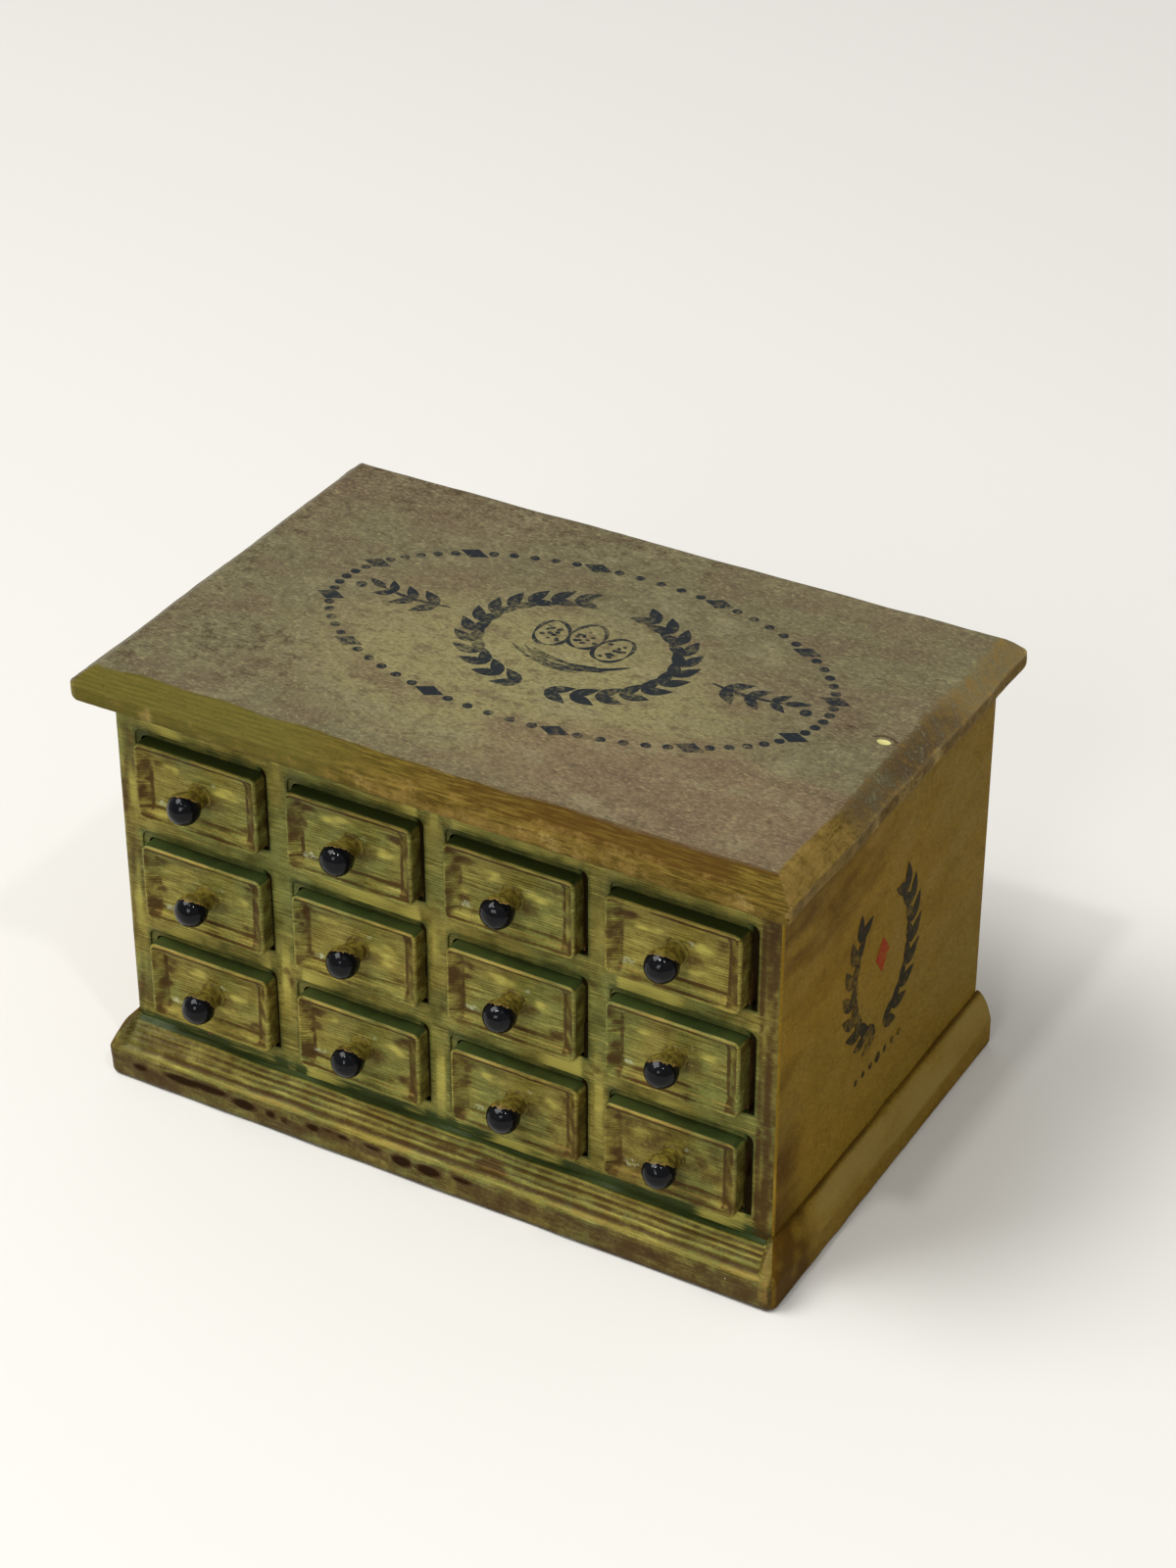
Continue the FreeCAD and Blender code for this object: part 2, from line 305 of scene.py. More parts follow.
class Finish:
    """A material's node tree, built with short calls. Lengths in it are millimetres."""

    def __init__(self, name):
        self.material = bpy.data.materials.new(name)
        self.material.use_nodes = True
        self.nodes = self.material.node_tree.nodes
        self.shader = self.nodes["Principled BSDF"]
        where = self.add("TexCoord", {})["Object"]
        self.place = self.vector("SCALE", where, Scale=1 / mm)

    def link(self, value, socket):
        if isinstance(value, bpy.types.NodeSocket):
            self.material.node_tree.links.new(value, socket)
        else:
            socket.default_value = value

    def add(self, kind, inputs, **settings):
        """The outputs of a new node, whose inputs are linked or set by name or number."""
        node = self.nodes.new("ShaderNode" + kind)
        for setting, value in settings.items():
            setattr(node, setting, value)
        for socket, value in inputs.items():
            self.link(value, node.inputs[socket])
        return node.outputs

    def vector(self, operation, *values, **named):
        return self.add("VectorMath", {**dict(enumerate(values)), **named}, operation=operation)["Vector"]

    def combine(self, operation, *values):
        return self.add("Math", dict(enumerate(values)), operation=operation)[0]

    def times(self, value, factor, plus=0.0):
        """A value times a factor, plus another value."""
        return self.combine("MULTIPLY_ADD", value, factor, plus)

    def noise(self, size, detail, stretch=(1, 1, 1), shift=0, rough=0.55):
        """Noise whose features are about size across, longer where stretch is larger."""
        scaled = self.vector("DIVIDE", self.place, tuple(size * part for part in stretch))
        shifted = self.vector("ADD", scaled, (shift, shift * 0.7, shift * 1.3))
        inputs = {"Vector": shifted, "Scale": 1, "Detail": detail, "Roughness": rough}
        return self.add("TexNoise", inputs)["Fac"]

    def specks(self, spacing, radius, share):
        """1 on small round specks, in that share of cells of the given spacing."""
        cells = self.add("TexVoronoi", {"Vector": self.place, "Scale": 1 / spacing})
        near = self.remap(cells["Distance"], radius / spacing, radius / spacing * 0.5)
        number = self.add("SeparateColor", {0: cells["Color"]})[0]
        return self.times(near, self.combine("GREATER_THAN", number, 1 - share))

    def lines(self, pitch, wander):
        """Level lines across Z, from 0 to 1, pushed up and down a little by noise."""
        level = self.add("SeparateXYZ", {0: self.place})["Z"]
        pushed = self.times(self.noise(2.5, 2, (2.5, 1, 1)), wander, level)
        turns = self.times(pushed, 2 * math.pi / pitch)
        return self.times(self.combine("SINE", turns), 0.5, 0.5)

    def mask(self, name):
        """A paint mask of the piece, which is 0 on a piece that has none by that name."""
        return self.add("Attribute", {}, attribute_name=name)["Fac"]

    def remap(self, value, low, high, to_low=0.0, to_high=1.0):
        """A value from low to high eased over another span."""
        inputs = {"Value": value, "From Min": low, "From Max": high, "To Min": to_low, "To Max": to_high}
        return self.add("MapRange", inputs, interpolation_type="SMOOTHSTEP")["Result"]

    def patchy(self, name, noise, start, end, spread):
        """A painted mask broken up by noise, so that its edge is ragged."""
        push = self.times(noise, spread, -spread / 2)
        present = self.times(self.remap(self.mask(name), 0.0, 0.15), push)
        return self.remap(self.combine("ADD", self.mask(name), present), start, end)

    def mix(self, share, first, second, kind="RGBA"):
        """A colour between two others or, of the kind FLOAT, a number."""
        *inputs, result = mix_sockets[kind]
        return self.add("Mix", dict(zip(inputs, (share, first, second))), data_type=kind)[result]

    def washes(self, colour, *layers):
        """Colours laid over one another, each (share, most, red, green, blue), by up to most."""
        for share, most, *shade in layers:
            colour = self.mix(self.times(share, most), colour, paint(*shade))
        return colour

    def finish(self, colour, roughness, height, depth, specular):
        """Sets the surface; height goes from 0 to 1 over depth."""
        inputs = {"Base Color": colour, "Roughness": roughness, "Specular IOR Level": specular}
        if height is not None:
            inputs["Normal"] = self.add("Bump", {"Distance": depth * mm, "Height": height})["Normal"]
        for socket, value in inputs.items():
            self.link(value, self.shader.inputs[socket])
        return self.material


def olive_paint():
    """Brushed olive paint: brown wash in the corners, dry yellow strokes and rubbed arrises, with dark green
    and near-black painted shade and pale painted glints.
    """
    look = Finish("olive_paint")
    broad = look.noise(6, 3, shift=3)
    middle = look.noise(1.3, 4, shift=11)
    small = look.noise(0.3, 3, shift=5)
    fine = look.noise(0.1, 2, shift=15)
    strokes = look.noise(0.17, 4, (12, 3, 1), shift=2)
    layers = look.lines(layer_pitch, 0.05)
    ragged = look.times(small, 0.5, look.times(middle, 0.5))
    streaky = look.times(layers, 0.12, look.times(strokes, 0.88))
    ridged = look.times(look.remap(layers, 0.35, 1.0), look.remap(middle, 0.36, 0.62))
    dark = look.mask("dark")
    colour = look.washes(
        look.mix(look.remap(broad, 0.36, 0.64), paint(112, 115, 56), paint(136, 123, 54)),
        (look.remap(middle, 0.45, 0.75), 0.6, 100, 90, 32),
        (look.remap(strokes, 0.5, 0.7), 0.75, 78, 60, 12),
        (look.remap(strokes, 0.47, 0.3), 0.65, 170, 158, 80),
        (ridged, 0.5, 60, 48, 8),
        (look.remap(fine, 0.45, 0.7), 0.3, 74, 64, 18),
        (look.remap(fine, 0.45, 0.25), 0.3, 168, 158, 84),
        # dark green on the dark mask: painted shade in hollows, on drawer walls, under the top and along the
        # plinth, over dark paint in the plinth's cove
        (look.patchy("dark", middle, 0.1, 0.85, 0.5), 0.92, 44, 58, 26),
        (look.patchy("dry", streaky, 0.25, 1.0, 1.5), 0.75, 190, 178, 86),
        (look.patchy("stain", ragged, 0.08, 0.88, 1.1), 0.9, 62, 38, 8),
        (look.patchy("edge", ragged, 0.25, 1.0, 1.6), 0.52, 168, 140, 68),
        # near-black brown where the dark mask passes 1: painted shade deep in the gaps beside the drawers,
        # and dark stain in the plinth's blotches
        (look.remap(dark, 1.1, 1.8), 0.95, 24, 12, 2),
        # pale smears on the drawer fronts: painted glints
        (look.patchy("pale", small, 0.45, 0.95, 1.1), 0.75, 196, 204, 170),
        (look.specks(1.9, 0.06, 0.05), 0.9, 214, 208, 176),
        (look.specks(1.3, 0.06, 0.05), 0.9, 24, 22, 8))
    roughness = look.remap(middle, 0.3, 0.7, 0.36, 0.55)
    height = look.times(strokes, 0.5, look.times(layers, 0.2, look.times(small, 0.6)))
    return look.finish(colour, roughness, height, 0.04, look.remap(dark, 0.9, 1.5, 0.11, 0.02))


def top_colour(look):
    """Mottled taupe paint, yellower in the middle, with olive bevels streaked along the edge."""
    broad = look.noise(11, 3, (1.4, 1, 1), shift=21)
    patches = look.noise(3.0, 4, (1.5, 1, 1), shift=9)
    blots = look.noise(0.9, 4, (1.3, 1, 1), shift=13, rough=0.65)
    grain = look.noise(0.24, 4, (1.3, 1, 1), shift=4, rough=0.75)
    lengthwise = look.noise(0.16, 5, (11, 1, 1), shift=7, rough=0.65)
    sidelong = look.noise(0.2, 5, (1, 5, 1), shift=23, rough=0.65)
    fibres = look.noise(0.1, 3, (3.5, 1, 1), shift=27)
    strokes = look.mix(look.mask("sidelong"), lengthwise, sidelong, "FLOAT")
    layers = look.lines(layer_pitch, 0.05)
    mottled = look.times(blots, 0.6, look.times(grain, 0.4))
    taupe = look.washes(
        look.mix(look.remap(broad, 0.36, 0.64), paint(101, 89, 66), paint(101, 95, 68)),
        (look.patchy("middle", patches, 0.1, 1.0, 0.8), 0.9, 130, 122, 80),
        (look.patchy("mauve", patches, 0.1, 1.0, 0.8), 0.85, 112, 91, 69),
        (look.remap(patches, 0.5, 0.68), 0.6, 92, 74, 58),
        (look.remap(patches, 0.46, 0.3), 0.45, 134, 126, 94),
        (look.remap(blots, 0.5, 0.68), 0.6, 80, 68, 46),
        (look.remap(blots, 0.44, 0.3), 0.35, 136, 126, 92),
        (look.remap(grain, 0.5, 0.7), 0.62, 72, 62, 42),
        (look.remap(grain, 0.47, 0.3), 0.55, 150, 138, 98),
        (look.remap(fibres, 0.5, 0.7), 0.5, 76, 66, 42),
        (look.remap(fibres, 0.46, 0.3), 0.4, 156, 146, 100))
    gold = look.washes(
        look.mix(look.remap(strokes, 0.36, 0.62), paint(112, 92, 36), paint(74, 58, 16)),
        (look.patchy("green", patches, 0.1, 0.9, 0.8), 0.7, 92, 89, 38),
        (look.remap(layers, 0.3, 1.0), 0.22, 60, 48, 14),
        (look.remap(grain, 0.5, 0.7), 0.35, 60, 46, 14))
    colour = look.washes(
        look.mix(look.patchy("olive", blots, 0.3, 0.7, 0.35), taupe, gold),
        (look.patchy("stain", mottled, 0.05, 1.0, 3.2), 0.82, 58, 41, 20),
        (look.patchy("rust", strokes, 0.2, 1.0, 1.1), 0.78, 76, 52, 15),
        # amber on the amber mask: gold paint, and on the front lip and nose a painted golden sheen
        (look.patchy("amber", mottled, 0.1, 1.1, 3.0), 0.62, 152, 124, 66),
        (look.patchy("edge", grain, 0.3, 0.95, 1.0), 0.65, 172, 148, 88),
        (look.patchy("pale", grain, 0.4, 0.6, 0.4), 1.0, 194, 188, 122),
        (look.specks(2.4, 0.08, 0.05), 0.8, 204, 196, 166))
    return colour, grain, strokes, patches


def top_paint():
    look = Finish("top_paint")
    colour, grain, strokes, patches = top_colour(look)
    olive = look.mask("olive")
    roughness = look.times(olive, 0.1, look.remap(patches, 0.3, 0.7, 0.45, 0.58))
    height = look.times(strokes, olive, look.times(grain, 0.7))
    return look.finish(colour, roughness, height, 0.03, look.times(olive, -0.17, 0.2))


def side_colour(look):
    """Olive-brown paint, mottled, with a darker wash that also paints shade, a pale painted sheen and rubbed
    places by mask.
    """
    broad = look.noise(9, 3, (1, 2, 1), shift=31)
    patches = look.noise(2.2, 4, (1, 2.2, 1), shift=15)
    blots = look.noise(0.6, 4, (1, 1.5, 1), shift=33, rough=0.65)
    grain = look.noise(0.18, 4, (1, 2, 1), shift=6, rough=0.7)
    colour = look.washes(
        look.mix(look.remap(broad, 0.35, 0.65), paint(132, 102, 28), paint(125, 100, 32)),
        (look.remap(patches, 0.48, 0.75), 0.22, 98, 68, 14),
        (look.remap(blots, 0.5, 0.7), 0.3, 88, 64, 16),
        (look.remap(blots, 0.46, 0.3), 0.25, 148, 120, 50),
        (look.remap(grain, 0.5, 0.7), 0.5, 80, 58, 12),
        (look.remap(grain, 0.47, 0.3), 0.42, 164, 132, 56),
        # brown on the stain mask: wash, and painted shade under the top
        (look.patchy("stain", patches, 0.2, 0.95, 1.0), 0.8, 64, 38, 8),
        # pale on the pale mask: a painted sheen on the side plinths' upper slope
        (look.patchy("pale", patches, 0.2, 0.95, 0.9), 0.75, 148, 126, 68),
        (look.patchy("edge", grain, 0.3, 0.9, 1.0), 0.6, 160, 134, 58),
        (look.specks(2.8, 0.08, 0.05), 0.7, 178, 160, 112),
        (look.specks(1.7, 0.08, 0.06), 0.7, 50, 34, 8))
    return colour, grain, patches, blots


def side_paint():
    look = Finish("side_paint")
    colour, grain, patches, blots = side_colour(look)
    roughness = look.remap(patches, 0.3, 0.7, 0.45, 0.58)
    return look.finish(colour, roughness, look.times(blots, 1.2, grain), 0.035, 0.02)


def ink(name, surface_colour, tint):
    """Old print: the tint where it still holds, and the paint under it where it has worn through."""
    look = Finish(name)
    ground = surface_colour(look)[0]
    worn = look.noise(0.35, 4, shift=41, rough=0.7)
    faded = look.noise(4, 2, shift=17)
    share = look.remap(look.times(faded, 0.6, worn), 1.05, 0.75, 0.3, 0.96)
    return look.finish(look.mix(share, ground, tint), 0.5, None, 0, 0.02)


def knob_paint():
    """Gloss black over the front of the ball, chipped along its edge, and olive behind it."""
    look = Finish("knob_paint")
    jagged = look.noise(0.3, 3, shift=8)
    mottle = look.noise(0.45, 3, shift=19)
    cover = look.times(jagged, 0.5, look.mask("cover"))
    olive = look.mix(look.remap(mottle, 0.4, 0.62), paint(110, 98, 36), paint(74, 62, 18))
    olive = look.washes(olive, (look.remap(look.mask("cover"), -0.3, 0.1), 0.5, 58, 44, 12))
    black = look.mix(look.remap(mottle, 0.5, 0.8), paint(9, 10, 13), paint(18, 18, 20))
    colour = look.mix(look.remap(cover, 0.18, 0.21), olive, paint(128, 102, 50))
    colour = look.mix(look.remap(cover, 0.235, 0.25), colour, black)
    roughness = look.remap(cover, 0.22, 0.28, 0.5, 0.08)
    return look.finish(colour, roughness, mottle, 0.02, 0.17)


def bare_wood():
    """Close-grained wood inside, with a thin brown stain."""
    look = Finish("bare_wood")
    grain = look.noise(0.14, 4, (1, 26, 1), shift=12, rough=0.6)
    bands = look.noise(1.1, 3, (1, 9, 1), shift=14)
    colour = look.washes(
        look.mix(look.remap(bands, 0.35, 0.65), paint(118, 86, 48), paint(98, 68, 36)),
        (look.remap(grain, 0.48, 0.75), 0.6, 66, 44, 22),
        (look.specks(1.3, 0.06, 0.1), 0.9, 50, 34, 18))
    roughness = look.remap(grain, 0.3, 0.7, 0.55, 0.7)
    return look.finish(colour, roughness, grain, 0.02, 0.15)


materials = {
    "front": olive_paint(),
    "top": top_paint(),
    "side": side_paint(),
    "knob": knob_paint(),
    "wood": bare_wood(),
    "top_ink": ink("top_ink", top_colour, paint(30, 36, 42)),
    "side_ink": ink("side_ink", side_colour, paint(30, 28, 18)),
    "red_ink": ink("red_ink", side_colour, paint(142, 34, 10)),
}


# ---- Drawers ----
def outline_depth(u, w, half_u, half_w, radius):
    """How far a point lies inside a rectangle with rounded corners about the middle."""
    out_u, out_w = abs(u) - half_u + radius, abs(w) - half_w + radius
    around = np.hypot(np.maximum(out_u, 0), np.maximum(out_w, 0))
    return radius - around - np.minimum(np.maximum(out_u, out_w), 0)


def terraced(z):
    """A level drawn towards the nearest of the fine level lines."""
    return z + 0.85 * layer_pitch / (2 * math.pi) * np.sin(2 * math.pi * z / layer_pitch)


def drawer_masks(points, low, high, seed):
    """Where a drawer front is stained, brushed and rubbed, with painted shade on its walls, a painted shadow
    of its knob and pale painted glints.
    """
    draw = np.random.default_rng(seed).uniform
    x, y, z = points.T
    half = (high - low) / 2
    u, w = x - low[0] - half[0], z - low[2] - half[2]
    flat = as_points(u, w)
    depth = outline_depth(u, w, half[0], half[2], drawer_corner)
    to_left, to_right, to_floor, to_top = half[0] + u, half[0] - u, half[2] + w, half[2] - w
    foot = drawer_rim + drawer_bevel
    front = ease(depth, 0.0, 0.05)
    wall = 1 - front
    upper = ease(to_top, 0.45, 0.05)
    blotch, drift = cloud(points, 1.3, seed), cloud(points, 4, seed + 4)
    uneven = cloud(points * (0.6, 1, 1), 0.7, seed + 6)
    # browner and less dry-brushed towards the lower right of the chest
    toward_lower_right = 0.6 * ease(x, 0, 12) * ease(z, opening_floors[2], opening_floors[0])
    sloping = ease(depth, 0.14, 0.24)
    along_floor = band(to_floor, 0.3, 0.4, 0.08) + band(to_floor, foot - 0.1, foot + 0.04, 0.08)
    right_slope = band(to_right, 0.2, foot - 0.02, 0.1) * sloping * ease(to_floor, 0.2, 0.4)
    right_line = band(to_right, foot - 0.2, foot - 0.02, 0.12) * sloping * ease(to_floor, 0.3, 0.6)
    seam = band(np.minimum(to_right, to_left), foot - 0.08, foot + 0.06, 0.07) * ease(depth, 0.7, 0.9)
    stain = greatest(
        band(to_top, 0.2, 0.42, 0.08) * ease(depth, 0.14, 0.22) * (0.7 + 0.4 * drift),
        along_floor * (0.4 + 0.5 * drift) * sloping,
        right_slope * (0.35 + 0.5 * blotch),
        right_line * (0.6 + 0.4 * uneven),
        band(to_left, 0.3, foot, 0.3) * sloping * (0.15 + 0.6 * blotch),
        seam * (0.35 + 0.5 * drift),
        # painted shadow of the knob, to the right of and a little below it
        0.55 * patch(flat, (1.25, -0.35), (1.5, 1.1)),
        toward_lower_right * (0.4 + 0.6 * blotch))
    for _ in range(3):
        spot = draw((-4.4, -2.0), (-3.5, 2.0))
        stain = greatest(stain, 0.75 * patch(flat, spot, draw((0.3, 0.35), (0.8, 0.7))))
    for corner in ((-3.6, 1.7), (3.5, -1.6), (3.4, 1.5)):
        blot = patch(flat, corner, draw((0.8, 0.5), (1.8, 1.1))) * (0.5 + 0.7 * uneven)
        stain = greatest(stain, draw(0.1, 0.95) * blot)
    rim = band(depth, 0.03, 0.13, 0.05) * ease(y, low[1] + 0.18, low[1] + 0.06)
    rim *= ease(to_left, 0.1, 0.9) * (0.5 + 0.5 * ease(to_top, 0.5, 0.2)) * (0.6 + 0.4 * drift)
    rubbed = 0.45 + 0.35 * ease(abs(w), half[2] - 0.5, half[2] - 0.1) + 0.3 * ripple(points, 1.8, seed + 1)
    edge = greatest(rim * rubbed, 0.6 * band(to_floor, 0.62, 0.72, 0.08) * ease(depth, 0.5, 0.6))
    dry = greatest(
        0.95 * patch(flat, draw((1.8, 0.0), (2.8, 0.9)), draw((1.2, 0.6), (2.0, 1.1))),
        0.9 * patch(flat, draw((-2.6, 0.9), (-0.8, 1.6)), draw((1.0, 0.5), (2.4, 0.9))),
        draw(0.2, 0.8) * patch(flat, (0.8, draw(-1.6, 1.6)), (3.2, 0.8)))
    dry = dry * (0.45 + 0.6 * uneven) * (1 - 0.6 * toward_lower_right) + 0.3 * right_slope * (1 - blotch)
    # pale painted glints: a smear near the lower left corner and a wisp up to the right of the knob
    pale = greatest(
        0.62 * patch(flat, draw((-3.5, -1.9), (-2.9, -1.5)), (1.2, 0.6)),
        0.6 * patch(flat, draw((0.9, 0.8), (1.3, 1.2)), (0.7, 0.45)))
    # painted shade: darker walls, darkest on the top wall over its dark green paint, darker further back from
    # the front, and a darker patch below the knob
    dark = greatest(
        wall * greatest(0.98 * upper, 0.15 + 0.3 * drift) * ease(y, low[1] + 0.08, low[1] + 0.2),
        0.3 * patch(flat, (0.2, -1.2), (2.4, 0.9)) * drift)
    # browner side and bottom walls: painted shade
    return {"stain": stain * front + wall * (1 - upper) * (0.3 + 0.3 * blotch),
            "edge": np.clip(edge, 0, 1), "dry": np.clip(dry * front, 0, 1),
            "pale": pale * front, "dark": dark}


def drawer_face(place, seed):
    """The drawer front: a rim with rounded corners, a slope all round and a sunk panel."""
    low, high = corners(f"drawer_front_{place}")
    centre, half = (low + high) / 2, (high - low) / 2
    proud = face_y - low[1]

    def surface(x, z):
        u, w = x - centre[0], z - centre[2]
        points = as_points(x, np.zeros_like(x), z)
        wobble = 0.03 * ripple(points, 3.0, seed)
        stepped = terraced(z) - centre[2]
        inside = np.minimum(half[0] - abs(u), half[2] - abs(stepped)) + wobble
        slope = ramp(inside - drawer_rim, drawer_bevel, (-0.04, 0, 0.04))
        depth = outline_depth(u, w, half[0], half[2], drawer_corner)
        lines = np.sin(2 * math.pi * z / layer_pitch + 0.6 * ripple(points, 4.0, seed + 2))
        fine = 0.008 * lines + 0.014 * ripple(points, 1.1, seed + 3)
        fallen = drawer_panel_depth * slope + rolled(depth, drawer_arris)
        return proud - fallen + fine * ease(depth, 0, 0.2)

    def place_point(x, z, height):
        return as_points(x, face_y - height, z)

    xs = spaced(low[0], high[0], *drawer_spacing)
    zs = np.linspace(low[2], high[2], round((high[2] - low[2]) / drawer_level_step) + 1)
    rings = [(0, proud - drawer_arris - 0.06), (0, proud - 0.45), (0, 0.2), (0, -drawer_lap)]
    body = relief(xs, zs, drawer_corner, surface, rings, place_point)
    tongue = box_between((low[0] + drawer_tray_wall, high[0] - drawer_tray_wall),
                         (face_y + drawer_lap - 0.05, high[1]), (low[2], high[2]))
    points, faces = joined(body, tongue)
    add_piece(f"drawer_face_{place}", points, faces, "front", f"drawer_{place}",
              [f"drawer_front_{place}"], drawer_masks(points, low, high, seed))


def turned_knob(place, seed):
    """A ball knob on a waisted neck, with the gloss paint's cover as a mask."""
    low, high = corners(f"knob_{place}")
    tip = low[1]
    panel = tip + knob_length
    centre = np.array([(low[0] + high[0]) / 2, tip + knob_radius, (low[2] + high[2]) / 2])
    neck_angle = math.asin(knob_neck / knob_radius)
    neck_start = panel - knob_collar_thickness
    ball_start = centre[1] + math.sqrt(knob_radius ** 2 - knob_neck ** 2)
    profile = [(0.05, panel + knob_sunk), (knob_collar, panel + knob_sunk), (knob_collar, panel - 0.02),
               (knob_collar - 0.06, panel - 0.14), (knob_collar - knob_collar_round, neck_start)]
    for share in np.linspace(0.15, 1, 8):
        waist = knob_neck - 0.05 * math.sin(math.pi * share)
        flare = (knob_collar - knob_collar_round - knob_neck) * (1 - share) ** 2
        profile.append((waist + flare, neck_start + (ball_start - neck_start) * share))
    for angle in np.linspace(neck_angle, math.pi - 0.02, 26)[1:]:
        profile.append((knob_radius * math.sin(angle), centre[1] + knob_radius * math.cos(angle)))
    turns = np.linspace(0, 2 * math.pi, knob_points, endpoint=False)
    loops = [as_points(centre[0] + radius * np.cos(turns), np.full(knob_points, y),
                       centre[2] + radius * np.sin(turns)) for radius, y in profile]
    points, faces = loft(loops)
    out = points - centre
    out /= np.maximum(np.linalg.norm(out, axis=1), 1e-6)[:, None]
    points = points + out * 0.012 * ripple(points, 1.0, seed)[:, None]
    facing = np.array([0.1, -0.72, -0.68]) + np.random.default_rng(seed).uniform(-0.1, 0.1, 3)
    cover = out @ (facing / np.linalg.norm(facing)) + 0.36
    cover = np.where(points[:, 1] > ball_start + 0.1, -1, cover)
    add_piece(f"knob_turned_{place}", points, faces, "knob", f"drawer_{place}",
              [f"knob_{place}"], {"cover": cover}, crease=60)


# ---- Carcass ----
def round_rectangle(left, right, floor, top, lower, upper):
    """A closed walk from the lower left corner, with its lower and upper corners rounded, and the
    outward direction at each of its points."""
    turning = np.array([(left, floor), (right, floor), (right, top), (left, top), (left, floor)])
    walk = np.concatenate([start + (end - start) * np.linspace(0, 1, count, endpoint=False)[:, None]
                           for start, end, count in zip(turning, turning[1:], mouth_points * 2)])
    radius = np.where(walk[:, 1:] > (floor + top) / 2, upper, lower)
    inner = np.clip(walk, turning[0] + radius, turning[2] - radius)
    away = walk - inner
    away /= np.maximum(np.linalg.norm(away, axis=1), 1e-9)[:, None]
    return inner + away * radius, away


lip_breaks = {  # where the lip to the right of a drawer has broken away, as shares of its height
    "r1c2": ((0.08, 0.28),), "r1c3": ((0.06, 0.16),), "r1c4": ((0.05, 0.42),),
    "r2c2": ((0.08, 0.34), (0.62, 0.92)), "r2c3": ((0.5, 0.92),), "r2c4": ((0.06, 0.96),),
    "r3c2": ((0.1, 0.2),), "r3c4": ((0.55, 0.75),),
}


def surround(opening, cell, drawer, breaks):
    """The painted face round one opening: a lip near the drawer, broken in places on the right, a
    hollow out to the mouth, then the flat face to the edge of the cell. Each place is
    (left, right, floor, top)."""
    left, right, floor, top = opening
    mouth_left, mouth_right, mouth_floor = left + mouth_inset, right - mouth_inset, floor + mouth_inset
    mouth, normal = round_rectangle(mouth_left, mouth_right, mouth_floor, top - mouth_inset,
                                    *mouth_corners)
    loose = max(0, right - drawer[1] - 0.4)
    lip, _ = round_rectangle(max(mouth_left, drawer[0] - lip_slack),
                             min(mouth_right, drawer[1] + lip_slack + 0.6 * loose),
                             mouth_floor, drawer[3] + lip_slack, *lip_corners)
    outer, _ = round_rectangle(*cell, 1e-6, 1e-6)
    rise = (lip[:, 1] - floor) / (drawer[3] - floor)
    for start, end in breaks:
        broken = band(rise, start, end, 0.05) * (lip[:, 0] > right - 1)
        lip[:, 0] = np.minimum(lip[:, 0] + open_gap * broken, right - 1.5 * mouth_inset)

    def loop(outline, depth):
        return np.insert(outline, 1, face_y + depth, axis=1)

    lip_back = opening_lip + 0.12
    loops = [loop(mouth, depth) for depth in (*mouth_depths, lip_back)] + [loop(lip, lip_back)]
    for turn in np.linspace(0, 1, 8) * math.pi / 2:
        hollow = opening_lip * math.cos(turn) + 0.1 * turn / (math.pi / 2)
        loops.append(loop(lip + (mouth - lip) * math.sin(turn), hollow))
    for turn in np.linspace(0.25, 1, 4) * math.pi / 2:
        spread = mouth_arris * (1 - math.cos(turn))
        loops.append(loop(mouth + normal * spread, 0.02 - (0.02 + paint_thickness) * math.sin(turn)))
    edge = mouth + normal * mouth_arris
    for share in (0.15, 0.35, 0.55, 0.75, 0.9, 1):
        loops.append(loop(edge + (outer - edge) * share, -paint_thickness))
    return loft(loops, closed_ends=False)


def painted_face():
    """The front edges of sides, shelves, partitions, frieze and bottom under one coat of paint."""
    cell_x = [-half_width] + [(low[0] + high[0]) / 2 for low, high in partitions] + [half_width]
    cell_z = [plinth_top - plinth_cove - 0.2]
    cell_z += [(low[2] + high[2]) / 2 for low, high in shelf_boxes] + [carcass_top]
    parts = []
    for row in range(rows):
        for column in range(columns):
            opening = (opening_lefts[column], opening_rights[column], opening_floors[row], opening_tops[row])
            cell = (*cell_x[column:column + 2], *cell_z[row:row + 2])
            place = f"r{rows - row}c{column + 1}"
            low, high = corners(f"drawer_front_{place}")
            sides = (low[0], high[0], low[2], high[2])
            parts.append(surround(opening, cell, sides, lip_breaks.get(place, ())))
    points, faces = joined(*parts)
    masks = face_masks(points)
    outside = points[:, 1] < face_y
    points[:, 1] += rolled(half_width - abs(points[:, 0]), board_arris) * outside
    points[:, 1] += 0.012 * ripple(points, 2.2, 71) * outside
    points[:, 1] += 0.006 * np.sin(2 * math.pi * points[:, 2] / layer_pitch) * outside
    add_piece("painted_face", points, faces, "front", "cabinet", (), masks)


def outside_spans(value, starts, ends):
    """How far a value is outside the nearest of several spans, and 0 inside them."""
    return np.min([greatest(start - value, value - end, 0) for start, end in zip(starts, ends)], axis=0)


